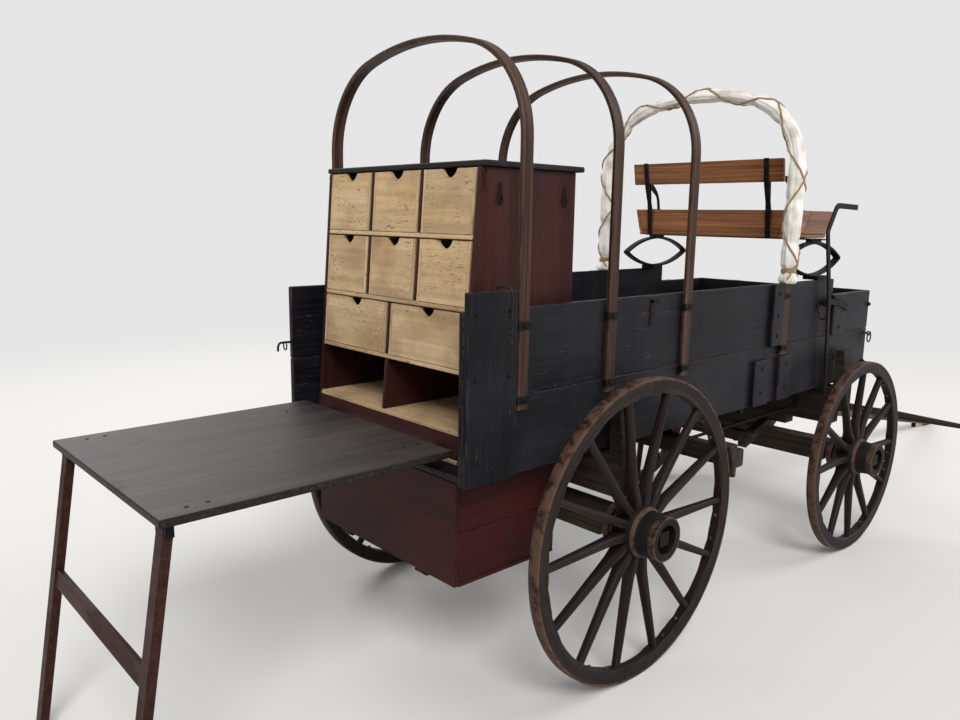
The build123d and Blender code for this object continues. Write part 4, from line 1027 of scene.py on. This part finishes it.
for i in range(1, 9):
    low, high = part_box(f"drawer_{i}")
    inside = high.y - plank["drawerFront"] - plank["chestSlope"] * (high.z - low.z)
    boards[f"drawer_{i}"] = [(1, inside), (0, low.x + plank["drawer"]), (0, high.x - plank["drawer"])]

finishes = {
    "gear_wood": gearWood,
    "tongue_wood": poleWood,
    "iron": blackIron,
    "box_paint": boxPaint,
    "chuck_paint": chuckPaint,
    "drawer_paint": drawerPaint,
    "lid_wood": lidWood,
    "table_wood": tableWood,
    "leg_wood": legWood,
    "red_paint": redPaint,
    "seat_wood": seatWood,
}
slantedNodes = {
    "tongue", "table_legs", "front_hounds", "rear_hounds", "brake_irons", "tongue_irons",
    "doubletree", "singletree_right", "singletree_left",
}
for node, slot in slotOf.items():
    if not node.startswith(("wheel_", "tyre_")) and node not in ("bows", "front_bow", "canvas"):
        dress(node, finishes[slot], easing.get(slot, 0.003), boards.get(node), node in slantedNodes)
print("other pieces dressed")


def roundHead(bm, place, out, radius, high):
    # Button head of a carriage bolt or a nail
    side = out.orthogonal().normalized()
    other = out.cross(side)
    angles = [fullTurn * i / 12 for i in range(12)]
    rings = []
    for share, level in ((1.0, -0.15), (1.0, 0.3), (0.86, 0.66), (0.55, 0.9), (0.16, 1.0)):
        middle = place + out * high * level
        points = [middle + (side * math.cos(t) + other * math.sin(t)) * radius * share for t in angles]
        rings.append(ring(bm, points))
    skin(bm, rings)


def smoothPath(points, steps=6):
    # A soft line through the points
    points = [Vector(p) for p in points]
    found = [points[0]]
    for i in range(len(points) - 1):
        a, b, c, d = points[max(i - 1, 0)], points[i], points[i + 1], points[min(i + 2, len(points) - 1)]
        for k in range(1, steps + 1):
            t = k / steps
            curve = (2 * a - 5 * b + 4 * c - d) * t * t + (3 * b - a - 3 * c + d) * t ** 3
            found.append(0.5 * (2 * b + (c - a) * t + curve))
    return found


def strap(bm, points, wide, thick, across):
    # Flat bar along points; across is its wide way
    points = [Vector(p) for p in points]
    across = Vector(across)
    section = barSection(wide, thick, 0.0008)
    rings = []
    for i, point in enumerate(points):
        ahead = (points[min(i + 1, len(points) - 1)] - points[max(i - 1, 0)]).normalized()
        up = ahead.cross(across).normalized()
        rings.append(ring(bm, [point + across * p + up * q for p, q in section]))
    skin(bm, rings)


def link(bm, centre, along, side, long, wide, wire, sides=8):
    # A closed ring or chain link lying in the plane of along and side
    along, side = Vector(along).normalized(), Vector(side).normalized()
    face = along.cross(side)
    angles = [fullTurn * k / sides for k in range(sides)]
    rings = []
    for i in range(24):
        t = fullTurn * (i + 0.5) / 24
        stretch = math.copysign((long - wide) / 2, math.cos(t))
        out = along * math.cos(t) + side * math.sin(t)
        point = Vector(centre) + out * wide / 2 + along * stretch
        rings.append(ring(bm, [point + (out * math.cos(a) + face * math.sin(a)) * wire for a in angles]))
    skin(bm, rings, closed=True)


# Small irons: places from the rear axle along the wagon, heights from the ground
hardware = {
    "bolt": (0.010, 0.005),  # radius and height of a head
    "cleatBolts": (
        (-1.128, (0.98, 1.10)), (-1.362, (0.98, 1.10)),
        (-1.248, (1.25, 1.35, 1.46)), (-1.937, (1.24, 1.38)),
    ),
    "cornerBolts": ((0.600, 0.752), (1.0, 1.28, 1.50)),
    "sideNuts": (-2.347, (1.0, 1.34)),
    "sideNut": (0.019, 0.010),
    "stapleBolts": (1.185, 1.445),
    "stapleBolt": (0.0085, 0.005),
    "hooks": ((-1.70, 1.36, 0.055), (-1.86, 1.13, 0.060)),  # place, height, drop
    "hookRod": 0.0045,
    "eyeRing": (-2.343, 1.17),
    "smallStrap": (-0.219, 1.487, 1.378),
    "hasps": ((0.55, 1.90), (0.222, 1.898)),
    "lidHooks": (0.622, 1.938),
    "chestNails": ((1.757, 1.511, 1.294, 1.079), (0.20, 0.32, 0.44, 0.56)),
    "rodHook": (0.653, 1.570, 0.070, 0.085),  # place, height, reach, drop
    "rodChain": (7, 0.024, 0.015, 0.0021),  # links, their length, width and wire
    "rearPin": (0.80, 1.27),
    "nail": (0.0032, 0.0012),
    "bootNails": (0.05, 0.15, 0.25, 0.35),
    "stays": 0.370,
    "stayPath": ((-0.0185, 1.76), (-0.0185, 1.862), (0.0245, 1.993), (0.0469, 2.123)),
    "stayBolts": (2.030, 2.092),
}
table = {
    "bolts": ((0.43, 1.66), (0.43, 1.60), (0.35, 0.81), (0.35, 0.87), (0.35, 0.93)),
    "bolt": (0.008, 0.0025),
}
xWay, yWay, zWay = Vector((1, 0, 0)), Vector((0, 1, 0)), Vector((0, 0, 1))


def addHook(bm, side, y, top, drop):
    # Bent rod: flat eye against the board, down and out to a short lip
    out = xWay * side
    rod = hardware["hookRod"]
    bends = (
        (rod, 0), (0.006, 0.012), (0.012, drop * 0.5), (0.016, drop * 0.9), (0.030, drop * 1.08),
        (0.044, drop * 0.92), (0.048, drop * 0.6),
    )
    at = Vector((side * sideFace, y, top))
    tube(bm, smoothPath([at + out * away - zWay * down for away, down in bends]), rod)
    link(bm, at + out * rod + zWay * 0.009, zWay, yWay, 0.022, 0.018, rod * 0.8)
    roundHead(bm, at + out * rod * 0.6 + zWay * 0.009, out, 0.0075, 0.006)


def addSideIrons(bm, side):
    # What both sides of the box and the chest carry
    out = xWay * side
    cleats = side * (sideFace + plank["cleat"])
    for y, heights in hardware["cleatBolts"]:
        for z in heights:
            roundHead(bm, Vector((cleats, rearY + y, z)), out, *hardware["bolt"])
    y, heights = hardware["sideNuts"]
    for z in heights:
        at = Vector((side * sideFace, rearY + y, z))
        roundHead(bm, at, out, 0.019, 0.002)
        addNut(bm, at + out * 0.001, out, zWay, *hardware["sideNut"])
    for y, top, drop in hardware["hooks"]:
        addHook(bm, side, rearY + y, top, drop)
    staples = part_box("bow_staples")[1].x
    for y in bows["places"]:
        for z in hardware["stapleBolts"]:
            roundHead(bm, Vector((side * staples, rearY + y, z)), out, *hardware["stapleBolt"])
    # Nails where the shelves meet the chest's sides, and a hasp with its ring at each end
    heights, places = hardware["chestNails"]
    for z in heights:
        for y in places:
            roundHead(bm, Vector((side * chestHigh.x, rearY + y, z)), out, *hardware["nail"])
    for y, z in hardware["hasps"]:
        at = Vector((side * (chestHigh.x + 0.0018), rearY + y, z))
        strap(bm, [at + zWay * 0.026, at - zWay * 0.052], 0.018, 0.0032, yWay)
        link(bm, at + out * 0.006 - zWay * 0.030, zWay, yWay, 0.030, 0.016, 0.0028)
        bends = ((0.0, 0.012), (0.009, 0.014), (0.013, 0.022), (0.009, 0.030), (0.0, 0.032))
        tube(bm, smoothPath([at + out * away - zWay * down for away, down in bends]), 0.0026)
        roundHead(bm, at + out * 0.0014 + zWay * 0.016, out, 0.0048, 0.002)
    # Hook on the side at each top corner of the chest, clear of the folded table
    y, z = hardware["lidHooks"]
    at = Vector((side * (chestHigh.x + 0.0035), rearY + y, z))
    bends = ((0.0, -0.012), (0.003, 0.006), (0.003, 0.034), (0.007, 0.046), (0.011, 0.040))
    tube(bm, smoothPath([at + out * away - zWay * down for away, down in bends]), 0.0030)
    link(bm, at + zWay * 0.018, zWay, yWay, 0.024, 0.020, 0.0026)
    y, z = hardware["eyeRing"]
    at = Vector((side * sideFace, rearY + y, z))
    tube(bm, [at, at + out * 0.016], 0.0045)
    link(bm, at + out * 0.022, xWay, zWay, 0.024, 0.020, 0.0036)
    link(bm, at + out * 0.026 - zWay * 0.024, zWay, yWay, 0.052, 0.048, 0.0040)
    # Nails down the boot's edges
    for y in (bootLow.y + 0.009, (bootLow.y + bootHigh.y) / 2, bootHigh.y - 0.03):
        for up in hardware["bootNails"]:
            roundHead(bm, Vector((side * bootHigh.x, y, bootLow.z + up)), out, *hardware["nail"])


def addRearIrons(bm):
    # Near side: the corner board's bolts, its rod hook with a short chain, a small angle strap
    places, heights = hardware["cornerBolts"]
    for y in places:
        for z in heights:
            at = Vector((-sideFace - plank["cleat"], rearY + y, z))
            roundHead(bm, at, -xWay, *hardware["bolt"])
    y, z, reach, drop = hardware["rodHook"]
    at = Vector((-(sideFace + 0.010), rearY + y, z))
    bends = (
        (0, -0.004), (0, 0.010), (0.012, 0.014), (reach * 0.8, 0.012), (reach, -0.004),
        (reach, -drop * 0.6), (reach - 0.004, -drop),
    )
    tube(bm, smoothPath([at - xWay * away + zWay * up for away, up in bends]), 0.0042)
    count, long, wide, wire = hardware["rodChain"]
    top = at - xWay * (reach - 0.004) + zWay * (0.006 - drop)
    for i in range(count):
        centre = top - zWay * (long - 2 * wire) * (i + 0.5)
        link(bm, centre, zWay, yWay if i % 2 else xWay, long, wide, wire)
    y, top, low = hardware["smallStrap"]
    at = Vector((-(sideFace + 0.002), rearY + y, 0))
    strap(bm, [at + zWay * top, at + zWay * low], 0.020, 0.004, yWay)
    arm = at + zWay * (top - 0.004)
    strap(bm, [arm + yWay * 0.010, arm - yWay * 0.050], 0.018, 0.004, zWay)
    for along, z in ((0, top - 0.045), (0, low + 0.014), (-0.038, top - 0.004)):
        roundHead(bm, at + Vector((-0.002, along, z)), -xWay, 0.006, 0.003)
    # Far side: the pin at the rear end
    y, z = hardware["rearPin"]
    at = Vector((sideFace - 0.012, rearY + y - 0.012, z))
    bends = ((0, 0), (0.05, 0), (0.062, 0.012), (0.064, 0.035))
    tube(bm, smoothPath([at + yWay * back - zWay * down for back, down in bends]), 0.005)
    link(bm, at + Vector((0, 0.030, -0.014)), zWay, xWay, 0.034, 0.026, 0.0030)


def addSeatIrons(bm):
    # Straps of the stays over the seat's back rail, and the flat bar from spring to spring under it
    rear = seatHigh.y
    for x in (-hardware["stays"], hardware["stays"]):
        strap(bm, [(x, rear + back, z) for back, z in hardware["stayPath"]], 0.028, 0.005, xWay)
        for z in hardware["stayBolts"]:
            place = Vector((x, rear + (z - seat["leanFrom"]) * seat["lean"] + 0.005, z))
            roundHead(bm, place, yWay, 0.007, 0.003)
    wide, thick = seat["bar"]
    under = seatLow.z - thick / 2 - 0.0004
    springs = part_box("seat_irons")[1].x - 0.004
    y = rear - seat["barBehind"]
    strap(bm, [(-springs, y, under), (springs, y, under)], wide, thick, yWay)


bm = newMesh()
for side in (-1, 1):
    addSideIrons(bm, side)
addRearIrons(bm)
addSeatIrons(bm)
toObject(bm, "small_irons", blackIron, "wagon")
bm = newMesh()
for side in (-1, 1):
    for x, y in table["bolts"]:
        roundHead(bm, Vector((side * x, rearY + y, tableHigh.z - 0.0005)), zWay, *table["bolt"])
toObject(bm, "table_bolts", blackIron, bodyOf["drop_table"])
print("small irons made")
